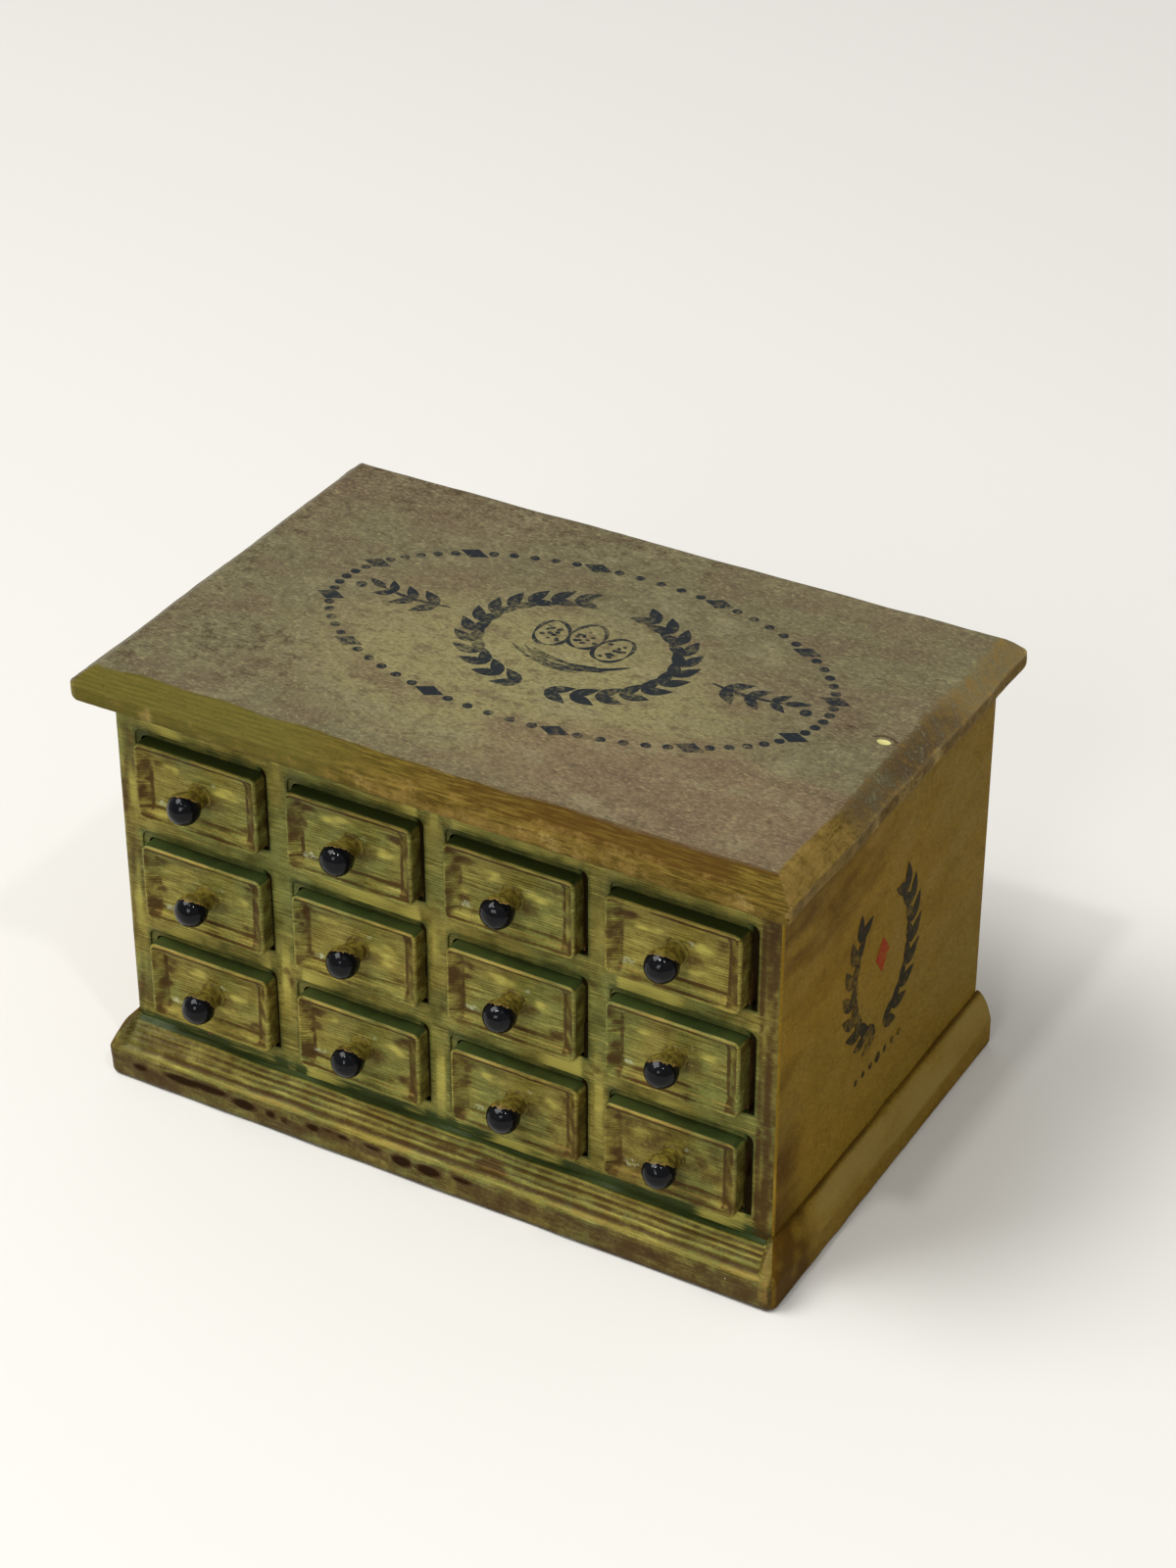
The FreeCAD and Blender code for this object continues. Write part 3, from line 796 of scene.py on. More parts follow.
def face_masks(points):
    """Painted shade in the hollows, round the openings, under the top and above the plinth, rubbed on the
    arrises, stained at the stiles and yellow on the ribs.
    """
    x, y, z = points.T
    near = np.hypot(outside_spans(x, opening_lefts, opening_rights),
                    outside_spans(z, opening_floors, opening_tops))
    hollow = ease(y, face_y - 0.02, face_y + 0.04)
    deep = greatest(ease(nearest(x, opening_rights), 0.8, 0.4), ease(y, face_y + 0.2, face_y + 0.5))
    front = ease(y, face_y + 0.04, face_y)
    inner = abs(x) < inside_half
    off_sides = ease(nearest(x, opening_lefts + opening_rights), 0.2, 0.6)
    off_levels = ease(nearest(z, opening_floors + opening_tops), 0.2, 0.6)
    ribs = off_sides * inner * (0.25 + 0.55 * ripple(points * (1, 1, 0.4), 3.0, 73))
    rails = 0.18 * off_levels * cloud(points * (0.5, 1, 1), 3.0, 74)
    stile = ease(abs(x), inside_half, inside_half + 0.3)
    right_stile = stile * (x > 0)
    streaks = cloud(points * (2.2, 1, 0.22), 1.2, 75)
    crossings = crossing_stains(points) * (0.4 + 0.5 * ripple(points, 1.1, 79))
    across = (x - inside_half) / (half_width - inside_half) + 0.05 * ripple(points * (0, 0, 1), 2.0, 78)
    stripes = band(across, 0.56, 0.68, 0.1) + 0.5 * band(across, 0.12, 0.2, 0.1)
    striped = 0.4 + 0.25 * streaks + 0.6 * stripes * (0.5 + 0.5 * streaks)
    streaked = stile * (x < 0) * (0.1 + 0.5 * streaks)
    stain = front * greatest(streaked + right_stile * striped, crossings)
    brushed = 0.35 * stile * (1 - streaks) * (1 - right_stile * stripes)
    dry = front * (greatest(ribs, rails) + brushed)
    arris = ease(abs(x), half_width - 0.22, half_width - 0.05)
    rubbed = band(y, face_y - 0.02, face_y + 0.02, 0.02) * (0.4 + 0.6 * ripple(points, 3.0, 77))
    edge = greatest(0.7 * arris * (0.4 + 0.6 * streaks), 0.4 * rubbed)
    # painted shade: dark in the hollows and darkest in the gaps beside the drawers, darker round each
    # opening, under the top and in a band above the plinth, with an uneven dark tone between the stiles
    dark = greatest(
        hollow * (0.4 + 1.4 * deep),
        0.55 * ease(near, 0.4, 0.0),
        inner * (0.16 + 0.12 * ripple(points, 2.6, 80)),
        0.65 * ease(z, carcass_top - 2.2, carcass_top - 0.5),
        0.95 * ease(z, plinth_top + 0.6, plinth_top + 0.15))
    return {"dark": dark, "dry": np.clip(dry, 0, 1), "stain": np.clip(stain, 0, 1),
            "edge": np.clip(edge, 0, 1) * (1 - hollow)}


def crossing_stains(points):
    """A few brown places where the ribs cross."""
    draw = np.random.default_rng(171).uniform
    found = np.zeros(len(points))
    for left, right in zip(opening_rights[:-1], opening_lefts[1:]):
        for top in opening_tops[:-1]:
            spot = ((left + right) / 2, top + draw(-0.5, 1.5))
            found = greatest(found, draw(0.3, 1) * patch(points[:, ::2], spot, (1.2, 1.4)))
    return found


def side_board(name, hand):
    """A side: its arrises eased, the outside slightly uneven and rebated inside for the back."""
    low, high = corners(name)
    thickness = high[0] - low[0]
    panel_low, panel_high = corners("back_panel")
    rebate = panel_high[0] - inside_half

    def surface(y, z):
        inside = np.minimum(np.minimum(y - low[1], high[1] - y), np.minimum(z - low[2], high[2] - z))
        points = as_points(np.zeros_like(y), y, z)
        return thickness - rolled(inside, board_arris) + 0.02 * ripple(points, 6, 81) * ease(inside, 0, 1)

    def place_point(y, z, height):
        return as_points(hand * (half_width - thickness + height), y, z)

    ys = spaced(low[1], high[1], *side_spacing)
    zs = spaced(low[2], high[2], *side_spacing)
    rings = [(0, thickness - board_arris - 0.02), (0, rebate)]
    outside = relief(ys, zs, 0.05, surface, rings, place_point)
    inside = box_between((hand * inside_half, hand * (inside_half + rebate + 0.01)),
                         (low[1] + 0.05, panel_low[1]), (low[2], high[2]))
    points, faces = joined(outside, inside)
    add_piece(f"{name}_board", points, faces, "side", "cabinet", [name], side_masks(points))


def side_masks(points):
    """Painted shade in brown streaks under the front of the top and just under it, a dark line at the foot
    and a rubbed front arris.
    """
    y, z = points[:, 1:].T
    forward = ease(y, face_y + 26, face_y + 3)
    streaks = cloud(points * (1, 0.3, 1.8), 2.2, 83)
    foot = corners("plinth_right")[1][2]
    stain = greatest(
        # painted shade under the top: browner up the side, in streaks towards the front, and darker just
        # under the top
        ease(z, 14, 28) * (0.14 + forward * (0.3 + 0.25 * streaks)),
        0.55 * ease(z, carcass_top - 1.2, carcass_top),
        0.75 * ease(z, foot + 0.35, foot) * ease(z, foot - 1, foot),
        0.8 * ease(y, face_y + 7, face_y + 0.5) * ease(z, 26, 6))
    arris = ease(y, face_y + 0.3, face_y + 0.08)
    rubbed = arris * (0.3 + 0.4 * ripple(points * (1, 1, 0.6), 2.0, 85))
    return {"stain": np.clip(stain * (1 - arris), 0, 1), "edge": np.clip(rubbed, 0, 1)}


# ---- Top ----
chip_place = (23.95, 1.0)
chip_across, chip_along = (22.6, 25.2), (0.2, 1.8)  # where the top has points close together
chip_step = 0.08


def edge_distances(points, low, high):
    """How far points are from the front, the back, the left and the right of a box."""
    x, y = points[..., 0], points[..., 1]
    return y - low[1], high[1] - y, x - low[0], high[0] - x


def top_corner(x, y):
    """The radius of the top board's corner in each quarter: the front right one is crisp."""
    return np.where((x > 0) & (y < 0), 0.35, 0.9)


def edge_depth(points, low, high):
    """How far points are in from the outline of the top, whose corners are rounded."""
    half, centre = (high - low) / 2, (high + low) / 2
    x, y = points[..., 0], points[..., 1]
    return outline_depth(x - centre[0], y - centre[1], half[0], half[1], top_corner(x, y))


def top_surface(low, high):
    """The height of the top board's face and bevel above a point."""
    foot = low[2] + top_nose_height
    rise = high[2] - foot

    def surface(x, y):
        points = as_points(x, y, np.zeros_like(x))
        inside = edge_depth(points, low, high)
        slope = ramp(inside, top_bevel_run, (-0.2, -0.08, 0.08, 0.2), -0.05)
        uneven = 0.014 * ripple(points, 9, 91) * ease(inside, 0.5, 4)
        streak = 0.018 * ripple(points * (0.1, 1, 1), 0.4, 92) * band(inside, 0.1, 1.3, 0.2)
        front = ease(y, low[1] + 1.9, low[1] + 1.6)
        chip = 0.16 * patch(points[..., :2], chip_place, (0.75, 0.5))
        return foot + rise * slope + uneven + streak * front - chip

    return surface


def top_masks(points):
    """Olive on the front bevel, brown mottles on the right one, rubbed corners and a chip."""
    low, high = corners("top_board")
    x, z = points[:, 0], points[:, 2]
    plan = points[:, :2]
    to_front, to_back, to_left, to_right = edge_distances(points, low, high)
    inside = edge_depth(points, low, high)
    wander = 0.1 * ripple(points, 5, 93)
    mottle = cloud(points, 2.6, 95)
    front_bevel = ease(to_front - np.minimum(to_left, to_right), 0.25, -0.15)
    front_bevel = front_bevel * ease(to_front + wander, 1.8, 1.45)
    lower = ease(z, low[2] + top_nose_height + 0.15, low[2] + top_nose_height - 0.1)
    right_nose = lower * ease(to_right, 0.6, 0.1) * ease(to_front, 0.2, 0.9)
    right_bevel = ease(to_right + wander, 2.1, 1.3) * ease(to_right - to_front, 0.15, -0.2)
    right_front = right_bevel * ease(to_front, 16, 6)
    right_middle = right_bevel * band(to_front, 11, 24, 4)
    olive = greatest(front_bevel, lower, 0.9 * right_front, 0.25 * right_bevel)
    stain = (1 - front_bevel) * greatest(
        right_middle * (0.6 + 0.2 * mottle),
        0.75 * right_nose,
        0.25 * right_bevel * (1 - 0.8 * right_front),
        patch(plan, (-17.5, -9.5), (8, 5.5)) * (0.05 + 0.4 * mottle),
        ease(to_back, 9, 0) * ease(x, 12, -6) * 0.38,
        ease(to_left, 8, 0) * 0.22,
        0.9 * ring_at(plan, chip_place, 0.85, 0.6),
        0.4 * patch(plan, (22.5, 1.5), (3.5, 3.0)) * mottle)
    middle_front = front_bevel * ease(x, -8, 12) * ease(x, 25, 20)
    seam = band(to_front, 1.5, 1.75, 0.15) * ease(x, -5, 15)
    rust = greatest(
        middle_front * (0.66 + 0.32 * mottle) * ease(to_front, 0.1, 0.5),
        0.9 * seam * ease(to_right, 0.6, 1.8),
        0.3 * right_middle)
    worn = (0.35 + 0.65 * ease(x, -14, 0)) * (1 - 0.45 * ease(x, 10, 24)) * (1 - 0.8 * right_nose)
    front_lip = front_bevel * band(x, -4, 16, 10) * band(to_front, 0.0, 0.5, 0.3)
    # amber along the front lip and nose, strongest right of the middle: gold paint, and a painted golden
    # sheen there
    amber = greatest(
        0.5 * front_lip * (0.3 + 0.6 * mottle),
        lower * worn * (0.34 + 0.38 * mottle),
        0.5 * right_bevel * band(to_right, -0.1, 0.12, 0.08),
        right_front * (0.6 + 0.3 * mottle),
        right_bevel * (0.3 + 0.35 * ease(to_front, 20, 28)))
    edge = greatest(
        0.6 * patch(points, (high[0] - 0.2, low[1] + 0.2, low[2] + 0.9), (0.7, 0.7, 0.7)),
        0.8 * patch(plan, (high[0] - 0.3, high[1] - 0.3), (1.2, 1.2)) * ease(inside, 0.5, 0.1),
        0.5 * patch(plan, (low[0], low[1]), (1.8, 1.2)) * ease(inside, 0.6, 0.2),
        band(inside, 0.0, 0.12, 0.08) * (0.15 + 0.3 * ripple(points, 2.4, 97)))
    chip = greatest(
        1.3 * patch(plan, chip_place, (0.72, 0.44)),
        0.42 * patch(plan, (23.2, 4.0), (1.3, 0.16)),
        0.42 * patch(plan, (22.9, -2.2), (1.2, 0.14)))
    mauve = greatest(1.15 * patch(plan, (17, -11), (24, 9)), 0.12 * patch(plan, (-4, -15), (18, 4)))
    return {"olive": olive, "stain": np.clip(stain, 0, 1), "rust": np.clip(rust, 0, 1),
            "amber": np.clip(amber, 0, 1), "edge": np.clip(edge, 0, 1), "mauve": mauve,
            "middle": patch(plan, (0, -4), (26, 16)), "green": ease(x, 6, -16),
            "sidelong": ease(to_front - to_right, -0.1, 0.2) * right_bevel, "pale": np.clip(chip, 0, 1)}


def ring_at(points, centre, wide, tall):
    """1 along the upper rim of an oval."""
    away = (points - np.array(centre)) / np.array((wide, tall))
    reach = np.linalg.norm(away, axis=-1)
    return band(reach, 0.85, 1.0, 0.2) * ease(away[..., 1], -0.1, 0.5)


def top_slab():
    """The top board: a rounded nose, a bevel all round and slightly wandering edges."""
    low, high = corners("top_board")
    xs = np.union1d(spaced(low[0], high[0], *top_spacing_x), np.arange(*chip_across, chip_step))
    ys = np.union1d(spaced(low[1], high[1], *top_spacing_y), np.arange(*chip_along, chip_step))
    level = low[2]
    nose = [(0, level + 0.98), (0, level + 0.72), (0, level + top_nose_round)]
    for turn in np.linspace(0.25, 1, 4) * math.pi / 2:
        inset, rise = (top_nose_round * (1 - part) for part in (math.cos(turn), math.sin(turn)))
        nose.append((inset, level + rise))
    nose.append((2.4, level))

    corner = top_corner(*np.meshgrid(xs, ys, indexing="ij"))
    points, faces = relief(xs, ys, corner, top_surface(low, high), nose, as_points)
    masks = top_masks(points)
    loose = ease(edge_depth(points, low, high), 3.0, 0.2)
    for axis in range(2):
        shake = 0.05 * ripple(points, 7, 101 + axis) + 0.014 * ripple(points, 0.9, 105 + axis)
        points[:, axis] += loose * shake
    points[:, 2] += loose * 0.03 * ripple(points, 5, 103) * ease(points[:, 2], level + 0.1, level + 0.9)
    add_piece("top_slab", points, faces, "top", "cabinet", ["top_board"], masks)


# ---- Plinth ----
profile_steps = 64  # points of a section down to the upright face
profile_face = 20  # points below that
moulding_marks = np.array([  # share of the way out, height over the slope, how rubbed, how shaded
    (0.00, -0.30, 0.0, 1.0), (0.19, -0.14, 0.0, 1.0), (0.25, 0.05, 0.8, 0.0), (0.31, -0.05, 0.0, 0.8),
    (0.38, 0.05, 0.9, 0.0), (0.45, -0.14, 0.0, 1.0), (0.53, 0.04, 0.7, 0.0), (0.60, -0.06, 0.0, 0.8),
    (0.66, 0.05, 0.9, 0.0), (0.77, -0.16, 0.0, 1.0), (0.90, 0.04, 1.0, 0.0), (1.00, -0.05, 0.1, 0.1),
])


def slope_section(height, fullness=2.0):
    """A smooth section from the carcass down to the floor, as (share out, level)."""
    shares = np.linspace(0, 1, profile_steps)
    upper = as_points(shares, height - (height - plinth_face_height) * shares ** fullness)
    level = np.linspace(plinth_face_height, 0.4, profile_face - 3)[1:]
    belly = 1 - 0.03 * (1 - level / plinth_face_height)
    lower = as_points(belly, level)
    foot = np.array([(0.95, 0.2), (0.9, 0.07), (0.82, 0.0), (0.0, 0.0)])
    return np.concatenate([upper, lower, foot])


def corner_radius(section):
    """The radius of the plinth's front corners at each point of a section."""
    return np.minimum(plinth_corner, 0.8 * section[:, 0] * min(front_reach, side_reach))


def corner_loop(section, hand, turn):
    """A plinth section carried round the front corner on one hand by an angle from the front."""
    radius = corner_radius(section)
    x = half_width + side_reach * section[:, 0] - radius + radius * math.sin(turn)
    y = face_y - front_reach * section[:, 0] + radius - radius * math.cos(turn)
    return as_points(hand * x, y, section[:, 1])


plinth_blotches = (  # brown marks on the front: middle, level, half length, half height, strength
    (-23.4, 1.45, 1.1, 0.5, 1.0), (-19.8, 1.6, 2.2, 0.45, 1.3), (-17.6, 1.75, 2.1, 0.5, 1.4),
    (-14.7, 1.5, 1.3, 0.55, 1.4), (-12.5, 1.5, 0.7, 0.6, 1.0), (-11.3, 1.4, 0.6, 0.55, 0.9),
    (-9.0, 1.65, 0.9, 0.45, 1.1), (-7.8, 1.85, 0.9, 0.3, 0.9), (-6.6, 1.75, 0.9, 0.35, 1.0),
    (-4.2, 1.9, 1.1, 0.4, 1.1), (-1.9, 1.6, 1.1, 0.6, 1.4), (0.2, 1.55, 1.3, 0.55, 1.4),
    (2.9, 1.8, 1.2, 0.45, 1.1), (7.4, 1.9, 1.0, 0.35, 0.7), (10.9, 2.0, 1.5, 0.35, 0.8),
    (13.2, 1.9, 1.3, 0.3, 0.7), (17.4, 1.4, 0.9, 0.5, 0.8), (22.6, 1.3, 1.4, 0.6, 0.6),
)
moulding_blotches = ((4.6, 3.0, 1.6, 0.5, 1.2), (1.2, 3.2, 1.5, 0.3, 0.7), (-20.5, 3.0, 1.5, 0.4, 0.5))


def moulded_plinth():
    """The front moulding up to the middle of each rounded corner, where its beads die out."""
    beaded, sloped = slope_section(plinth_top, 1.1), slope_section(plinth_top)
    shares = beaded[:, 0].copy()
    shares[profile_steps:] = 1
    height, rubbed, shaded = (np.interp(shares, moulding_marks[:, 0], moulding_marks[:, column])
                              for column in (1, 2, 3))
    shaded[profile_steps:] = 0
    fall = (plinth_top - plinth_face_height) / front_reach
    normal = np.array([fall / front_reach, 1.0]) / math.hypot(fall, 1)
    lift = height * (shares < 1)
    radius = corner_radius(sloped)
    near_end = np.linspace(0.9, 1, 30)
    loops, strengths = [], []
    for across in (*-near_end[::-1], *np.linspace(-0.9, 0.9, 181)[1:-1], *near_end):
        beading = ease(abs(across), 0.998, 0.982)
        strength = beading * np.where(shares > 0.7, 0.6 + 0.4 * ease(across, -0.95, -0.8),
                                      0.35 + 0.65 * ease(across, -0.93, -0.6))
        section = sloped + (beaded + lift[:, None] * strength[:, None] * normal - sloped) * beading
        straight = half_width + side_reach * section[:, 0] - radius
        y = face_y - front_reach * section[:, 0]
        loops.append(as_points(straight * across, y, section[:, 1]))
        strengths.append(strength)
    for turn in np.linspace(0.2, 1, 5) * math.pi / 4:
        loops = [corner_loop(sloped, -1, turn), *loops, corner_loop(sloped, 1, turn)]
        strengths = [0 * shares, *strengths, 0 * shares]
    points, faces = loft(loops)
    strengths = np.concatenate(strengths)
    rubbed, shaded = (np.tile(wear, len(loops)) * strengths for wear in (rubbed, shaded))
    masks = plinth_masks(points, rubbed, shaded)
    outside = ease(points[:, 1], face_y - 0.05, face_y - 0.4) * ease(points[:, 2], 0.02, 0.3)
    points[:, 1] += 0.03 * ripple(points * (0.5, 1, 1), 2.4, 111) * outside
    lifted = outside * ease(points[:, 2], 0.3, 1)
    points[:, 2] += 0.02 * ripple(points * (0.4, 1, 1), 2.0, 113) * lifted
    add_piece("moulded_plinth", points, faces, "front", "cabinet", ["plinth_front"], masks)


def plinth_masks(points, rubbed, shaded):
    """Brown blotches along the upright face, painted shade over that face and near the floor, dark coves with
    painted shade in them, rubbed beads and stained ends.
    """
    x, y, z = points.T
    streak = cloud(points * (0.2, 1, 1), 1.3, 115)
    blotch = greatest(*(strength * patch(points[:, ::2], (along, up), (1.3 * wide, 1.35 * tall))
                        for along, up, wide, tall, strength in plinth_blotches + moulding_blotches))
    upright = ease(z, plinth_face_height - 0.05, plinth_face_height - 0.3)
    end_arris = band(abs(x), half_width + 0.2, half_width + 0.75, 0.2) * ease(x, 0, 1)
    left_end = ease(x, -20, -24)
    cove = ease(y, face_y - 0.5, face_y - 0.38) * ease(abs(x), half_width, half_width - 0.6)
    # darker in the cove, over the upright face and near the floor: painted shade, partly darker paint; also
    # darker at the left end and deep brown in the blotches
    dark = greatest(
        cove,
        0.15 * upright,
        0.5 * ease(z, 0.8, 0.2),
        0.42 * left_end,
        1.6 * ease(blotch, 0.5, 1.0) * upright)
    # the upright face browner, more so right of the middle: partly painted shade, partly brown wash
    stain = greatest(
        blotch,
        0.75 * upright * (0.3 + 0.7 * streak),
        0.95 * shaded * (1 - cove),
        0.5 * ease(abs(x), half_width - 1.2, half_width + 0.6) * streak,
        0.55 * (1 - cove) * (1 - rubbed),
        0.7 * upright * ease(x, -3, 4) * (0.8 + 0.3 * streak),
        0.62 * left_end * upright)
    edge = greatest(rubbed * (0.35 + 0.45 * streak), 0.6 * end_arris * ease(z, 0.2, 1))
    dry = 0.5 * rubbed * (1 - streak) + 0.2 * band(z, 0.2, 0.6, 0.3)
    return {"edge": edge, "dark": dark, "stain": stain, "dry": dry}


def sloped_plinth(name, hand):
    """A side moulding from the middle of the front corner to the back."""
    top = corners(name)[1][2]
    section = slope_section(top)
    loops = [corner_loop(section, hand, turn) for turn in np.linspace(1, 1.8, 5) * math.pi / 4]
    x = hand * (half_width + side_reach * section[:, 0])
    start = face_y - front_reach * section[:, 0] + corner_radius(section)
    for share in (*np.linspace(0, 0.1, 12), *np.linspace(0.1, 1, 60)[1:]):
        loops.append(as_points(x, start + (back_y - start) * share, section[:, 1]))
    points, faces = loft(loops)
    x, y, z = points.T
    outside = ease(abs(x), half_width + 0.05, half_width + 0.4) * ease(z, 0.02, 0.3)
    # a paler band on the upper slope: painted sheen
    painted_sheen = band(z, 2.2, 3.8, 0.7) * (0.75 + 0.3 * ripple(points * (1, 0.4, 1), 3.0, 123))
    forward = ease(y, face_y + 8, face_y)
    mottle = cloud(points, 1.6, 125)
    stain = greatest(0.8 * ease(z, top - 0.3, top), 0.45 * ease(z, 1.3, 0.2), forward * (0.75 + 0.4 * mottle))
    masks = {"pale": np.clip(painted_sheen * (1 - 0.9 * forward), 0, 1), "stain": stain,
             "edge": 0.5 * ease(y, face_y - 1.3, face_y - 1.9)}
    points[:, 0] += hand * 0.025 * ripple(points, 3, 121) * outside
    add_piece(f"{name}_moulding", points, faces, "side", "cabinet", [name], masks)


# ---- Printed ornament ----
def set_down(along, across, x, y, angle):
    """Points of a drawing turned by an angle and set down at a place."""
    cosine, sine = math.cos(angle), math.sin(angle)
    return as_points(x + along * cosine - across * sine, y + along * sine + across * cosine)


def leaf(x, y, length, width, angle):
    """A leaf outline that starts at a point and runs out along an angle."""
    along = np.concatenate([np.linspace(0, 1, 7), np.linspace(1, 0, 7)[1:-1]])
    side = np.concatenate([np.ones(7), -np.ones(5)])
    across = side * width / 2 * np.sin(math.pi * along ** 0.8)
    return set_down(along * length, across, x, y, angle)


def dot(x, y, radius, stretch=1.0, count=10):
    turns = np.linspace(0, 2 * math.pi, count, endpoint=False)
    return as_points(x + radius * stretch * np.cos(turns), y + radius * np.sin(turns))


def stroke(points, width):
    """A line through points, tapered at its ends, as an outline."""
    points = np.array(points, float)
    ahead = np.gradient(points, axis=0)
    ahead /= np.linalg.norm(ahead, axis=1)[:, None]
    normal = as_points(-ahead[:, 1], ahead[:, 0])
    half = width / 2 * (0.25 + 0.75 * np.sin(np.linspace(0, math.pi, len(points))))
    return np.concatenate([points + normal * half[:, None], (points - normal * half[:, None])[::-1]])


def sprig(x, y, length, angle, bend, leaves, size):
    """A curved stem with pairs of leaves and one at its tip."""
    shapes, path = [], []
    steps = leaves * 2
    for step in range(steps + 1):
        path.append((x, y))
        if step % 2 == 1:
            scale = size * (1 - 0.35 * step / steps)
            for hand in (-1, 1):
                shapes.append(leaf(x, y, scale, scale * 0.42, angle + hand * 0.75))
        x += length / steps * math.cos(angle)
        y += length / steps * math.sin(angle)
        angle += bend / steps
    shapes.append(leaf(*path[-1], size * 0.8, size * 0.3, angle))
    shapes.append(stroke(path, size * 0.16))
    return shapes


def printed(shapes, place):
    """Thin prisms over a surface: place gives the point of a drawing at a height above it."""
    parts = []
    for number, shape in enumerate(shapes):
        raised = 0.006 + 0.0015 * (number % 7)
        parts.append(loft([place(*shape.T, height) for height in (-0.03, raised)]))
    return joined(*parts)


def wreath(x, y, wide, tall, leaves, size, opened=26):
    """Leaves in pairs along an oval, from the foot up both sides to a gap at the top."""
    shapes = []
    for hand in (-1, 1):
        for number in range(leaves):
            turn = math.radians(7 + (180 - opened - 7) * number / (leaves - 1))
            centre = (x + hand * wide * math.sin(turn), y - tall * math.cos(turn))
            heading = math.atan2(tall * math.sin(turn), hand * wide * math.cos(turn))
            for tilt in (-0.5, 0.5):
                shapes.append(leaf(*centre, size, size * 0.44, heading + tilt))
    return shapes


def egg(x, y, tall, angle, draw):
    """An egg in outline with speckles."""
    turns = np.linspace(0, 2 * math.pi, 33)
    radius = 1 + 0.12 * np.cos(turns)
    ring = set_down(tall / 2 * np.cos(turns) * radius, tall * 0.37 * np.sin(turns), x, y, angle)
    shapes = [stroke(ring[start:start + 9], tall * 0.1) for start in range(0, 32, 8)]
    for _ in range(14):
        turn, reach = draw(0, 2 * math.pi), draw(0.1, 0.76)
        along, across = tall / 2 * reach * math.cos(turn), tall * 0.36 * reach * math.sin(turn)
        spot = set_down(along, across, x, y, angle)
        shapes.append(dot(*spot, tall * draw(0.025, 0.055), 1.3, 7))
    return shapes


def nest(x, y, wide, draw):
    """Crossed twigs in a shallow bowl."""
    shapes = []
    for _ in range(26):
        middle = draw(-0.72, 0.72) * wide
        reach = wide * draw(0.22, 0.5)
        along = np.clip(np.linspace(middle - reach, middle + reach, 7), -wide, wide)
        sag = 0.42 * wide * (along / wide) ** 2 + draw(-0.9, 0.25)
        tilt = draw(-0.12, 0.12) * (along - middle)
        shapes.append(stroke(as_points(x + along, y + sag + tilt), 0.2))
    return shapes


border_wide, border_tall, border_marks = 18.4, 10.1, 72  # half axes of the oval, and its marks


def top_print():
    """Speckled eggs in a nest inside a wreath, a sprig to each side and an oval border of dots."""
    surface = top_surface(*corners("top_board"))
    draw = np.random.default_rng(131).uniform
    x, y = 1.2, 1.6
    shapes = wreath(x, y, wide=7.4, tall=5.9, leaves=12, size=2.1)
    for across, up, tilt in ((-2.3, 0.6, 1.85), (0.0, 1.3, 1.57), (2.3, 0.6, 1.3)):
        shapes += egg(x + across, y + up, tall=3.2, angle=tilt, draw=draw)
    shapes += nest(x, y - 2.3, wide=4.4, draw=draw)
    for hand, heading in ((-1, math.pi + 0.2), (1, -0.2)):
        shapes += sprig(x + hand * 10.0, y + 0.3, length=5.2, angle=heading, bend=hand * 0.5,
                        leaves=3, size=2.3)
        shapes.append(dot(x + hand * 16.9, y, radius=0.42))
    diamond = np.array([(-1.1, 0), (0, -0.62), (1.1, 0), (0, 0.62)])
    for number in range(border_marks):
        turn = 2 * math.pi * (number + 0.5) / border_marks
        spot = np.array([x + border_wide * math.cos(turn), y + border_tall * math.sin(turn)])
        shapes.append(spot + diamond if number % 6 == 2 else dot(*spot, 0.32, 1.15))

    def place(u, v, height):
        return as_points(u, v, surface(u, v) + height)

    points, faces = printed(shapes, place)
    add_piece("top_print", points, faces, "top_ink", "cabinet", (), top_masks(points))


def side_print():
    """A laurel open at the top round a red lozenge, with a row of dots at its foot."""
    y, z = 0.2, 17.2
    dark = wreath(y, z, wide=4.6, tall=5.6, leaves=8, size=2.2, opened=52)
    dark += [dot(y + 1.1 * number, z - 8.0, 0.26 if number else 0.4) for number in range(-3, 4)]
    red = [np.array([(y - 1.0, z + 0.4), (y, z - 1.0), (y + 1.0, z + 0.4), (y, z + 1.8)])]

    def place(u, v, height):
        return as_points(np.full(len(u), half_width + 0.02 + height), u, v)

    for name, shapes, material in (("side_print", dark, "side_ink"), ("side_mark", red, "red_ink")):
        points, faces = printed(shapes, place)
        add_piece(name, points, faces, material, "cabinet", (), side_masks(points))


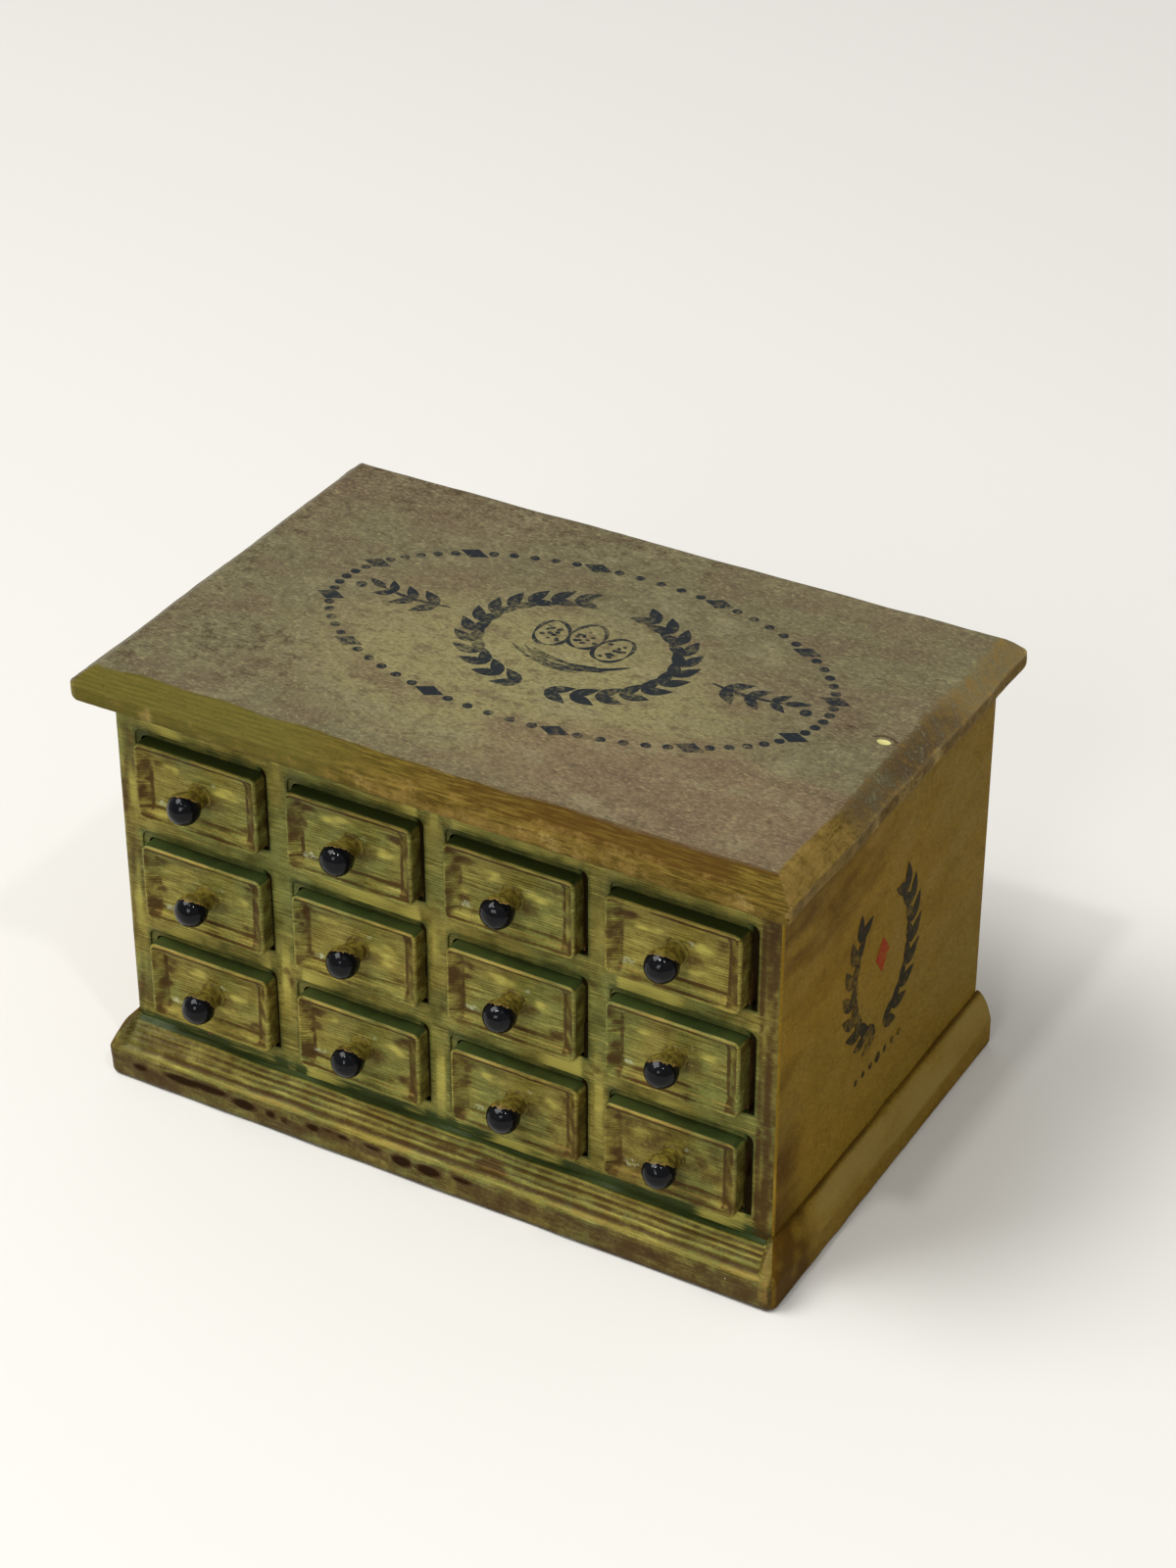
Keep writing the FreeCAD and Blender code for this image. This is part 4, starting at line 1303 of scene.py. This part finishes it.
# ---- Putting it together ----
def dress_node(node, material):
    """A material and an eased arris for a CAD node that stays."""
    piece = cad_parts[node]
    piece.data.materials.clear()
    piece.data.materials.append(materials[material])
    bevel = piece.modifiers.new("eased", "BEVEL")
    bevel.width = hidden_arris * mm
    bevel.segments = 2
    bevel.limit_method = "ANGLE"


for row in range(rows):
    for column in range(columns):
        place = f"r{row + 1}c{column + 1}"
        seed = 200 + 10 * (row * columns + column)
        drawer_face(place, seed)
        turned_knob(place, seed + 5)
        dress_node(f"drawer_tray_{place}", "wood")
painted_face()
side_board("left_side", -1)
side_board("right_side", 1)
top_slab()
moulded_plinth()
sloped_plinth("plinth_left", -1)
sloped_plinth("plinth_right", 1)
top_print()
side_print()
dress_node("back_panel", "side")
for node in ("frieze_board", "bottom_board", "kick_board", "shelf_1", "shelf_2",
             "partition_1", "partition_2", "partition_3"):
    dress_node(node, "wood")


# ---- Floor, lamps and world, in metres ----
floor_reach = 3.0
floor_sink = 0.00002  # below the feet, so that their undersides don't flicker
lamp_target = Vector((0, 0, 0.015))


def stage_floor():
    square = [(x * floor_reach, y * floor_reach, 0) for x, y in ((-1, -1), (1, -1), (1, 1), (-1, 1))]
    mesh = bpy.data.meshes.new("floor")
    mesh.from_pydata(square, [], [(0, 1, 2, 3)])
    mesh.materials.append(Finish("floor").finish(paint(226, 224, 218), 0.8, None, 0, 0.5))
    floor = new_object("floor", mesh)
    floor.location.z = -floor_sink


def lamp(name, place, size, watts):
    """A square soft box aimed at the middle of the chest."""
    light = bpy.data.lights.new(name, "AREA")
    light.size = size
    light.energy = watts
    holder = new_object(name, light)
    holder.location = place
    aim = lamp_target - holder.location
    holder.rotation_euler = aim.to_track_quat("-Z", "Y").to_euler()


stage_floor()
lamp("key", (-0.35, -0.25, 0.75), 0.45, 5.7)
lamp("fill", (0.1, -0.9, 0.55), 0.3, 2.0)
lamp("glint_left", (-0.01, -0.23, 0.47), 0.026, 0.42)
lamp("glint_right", (0.22, -0.16, 0.43), 0.02, 0.22)
world = bpy.data.worlds.new("world")
world.use_nodes = True
background = world.node_tree.nodes["Background"].inputs
background["Color"].default_value = paint(235, 235, 232)
background["Strength"].default_value = 0.42
bpy.context.scene.world = world
bpy.context.scene.view_settings.view_transform = "Standard"
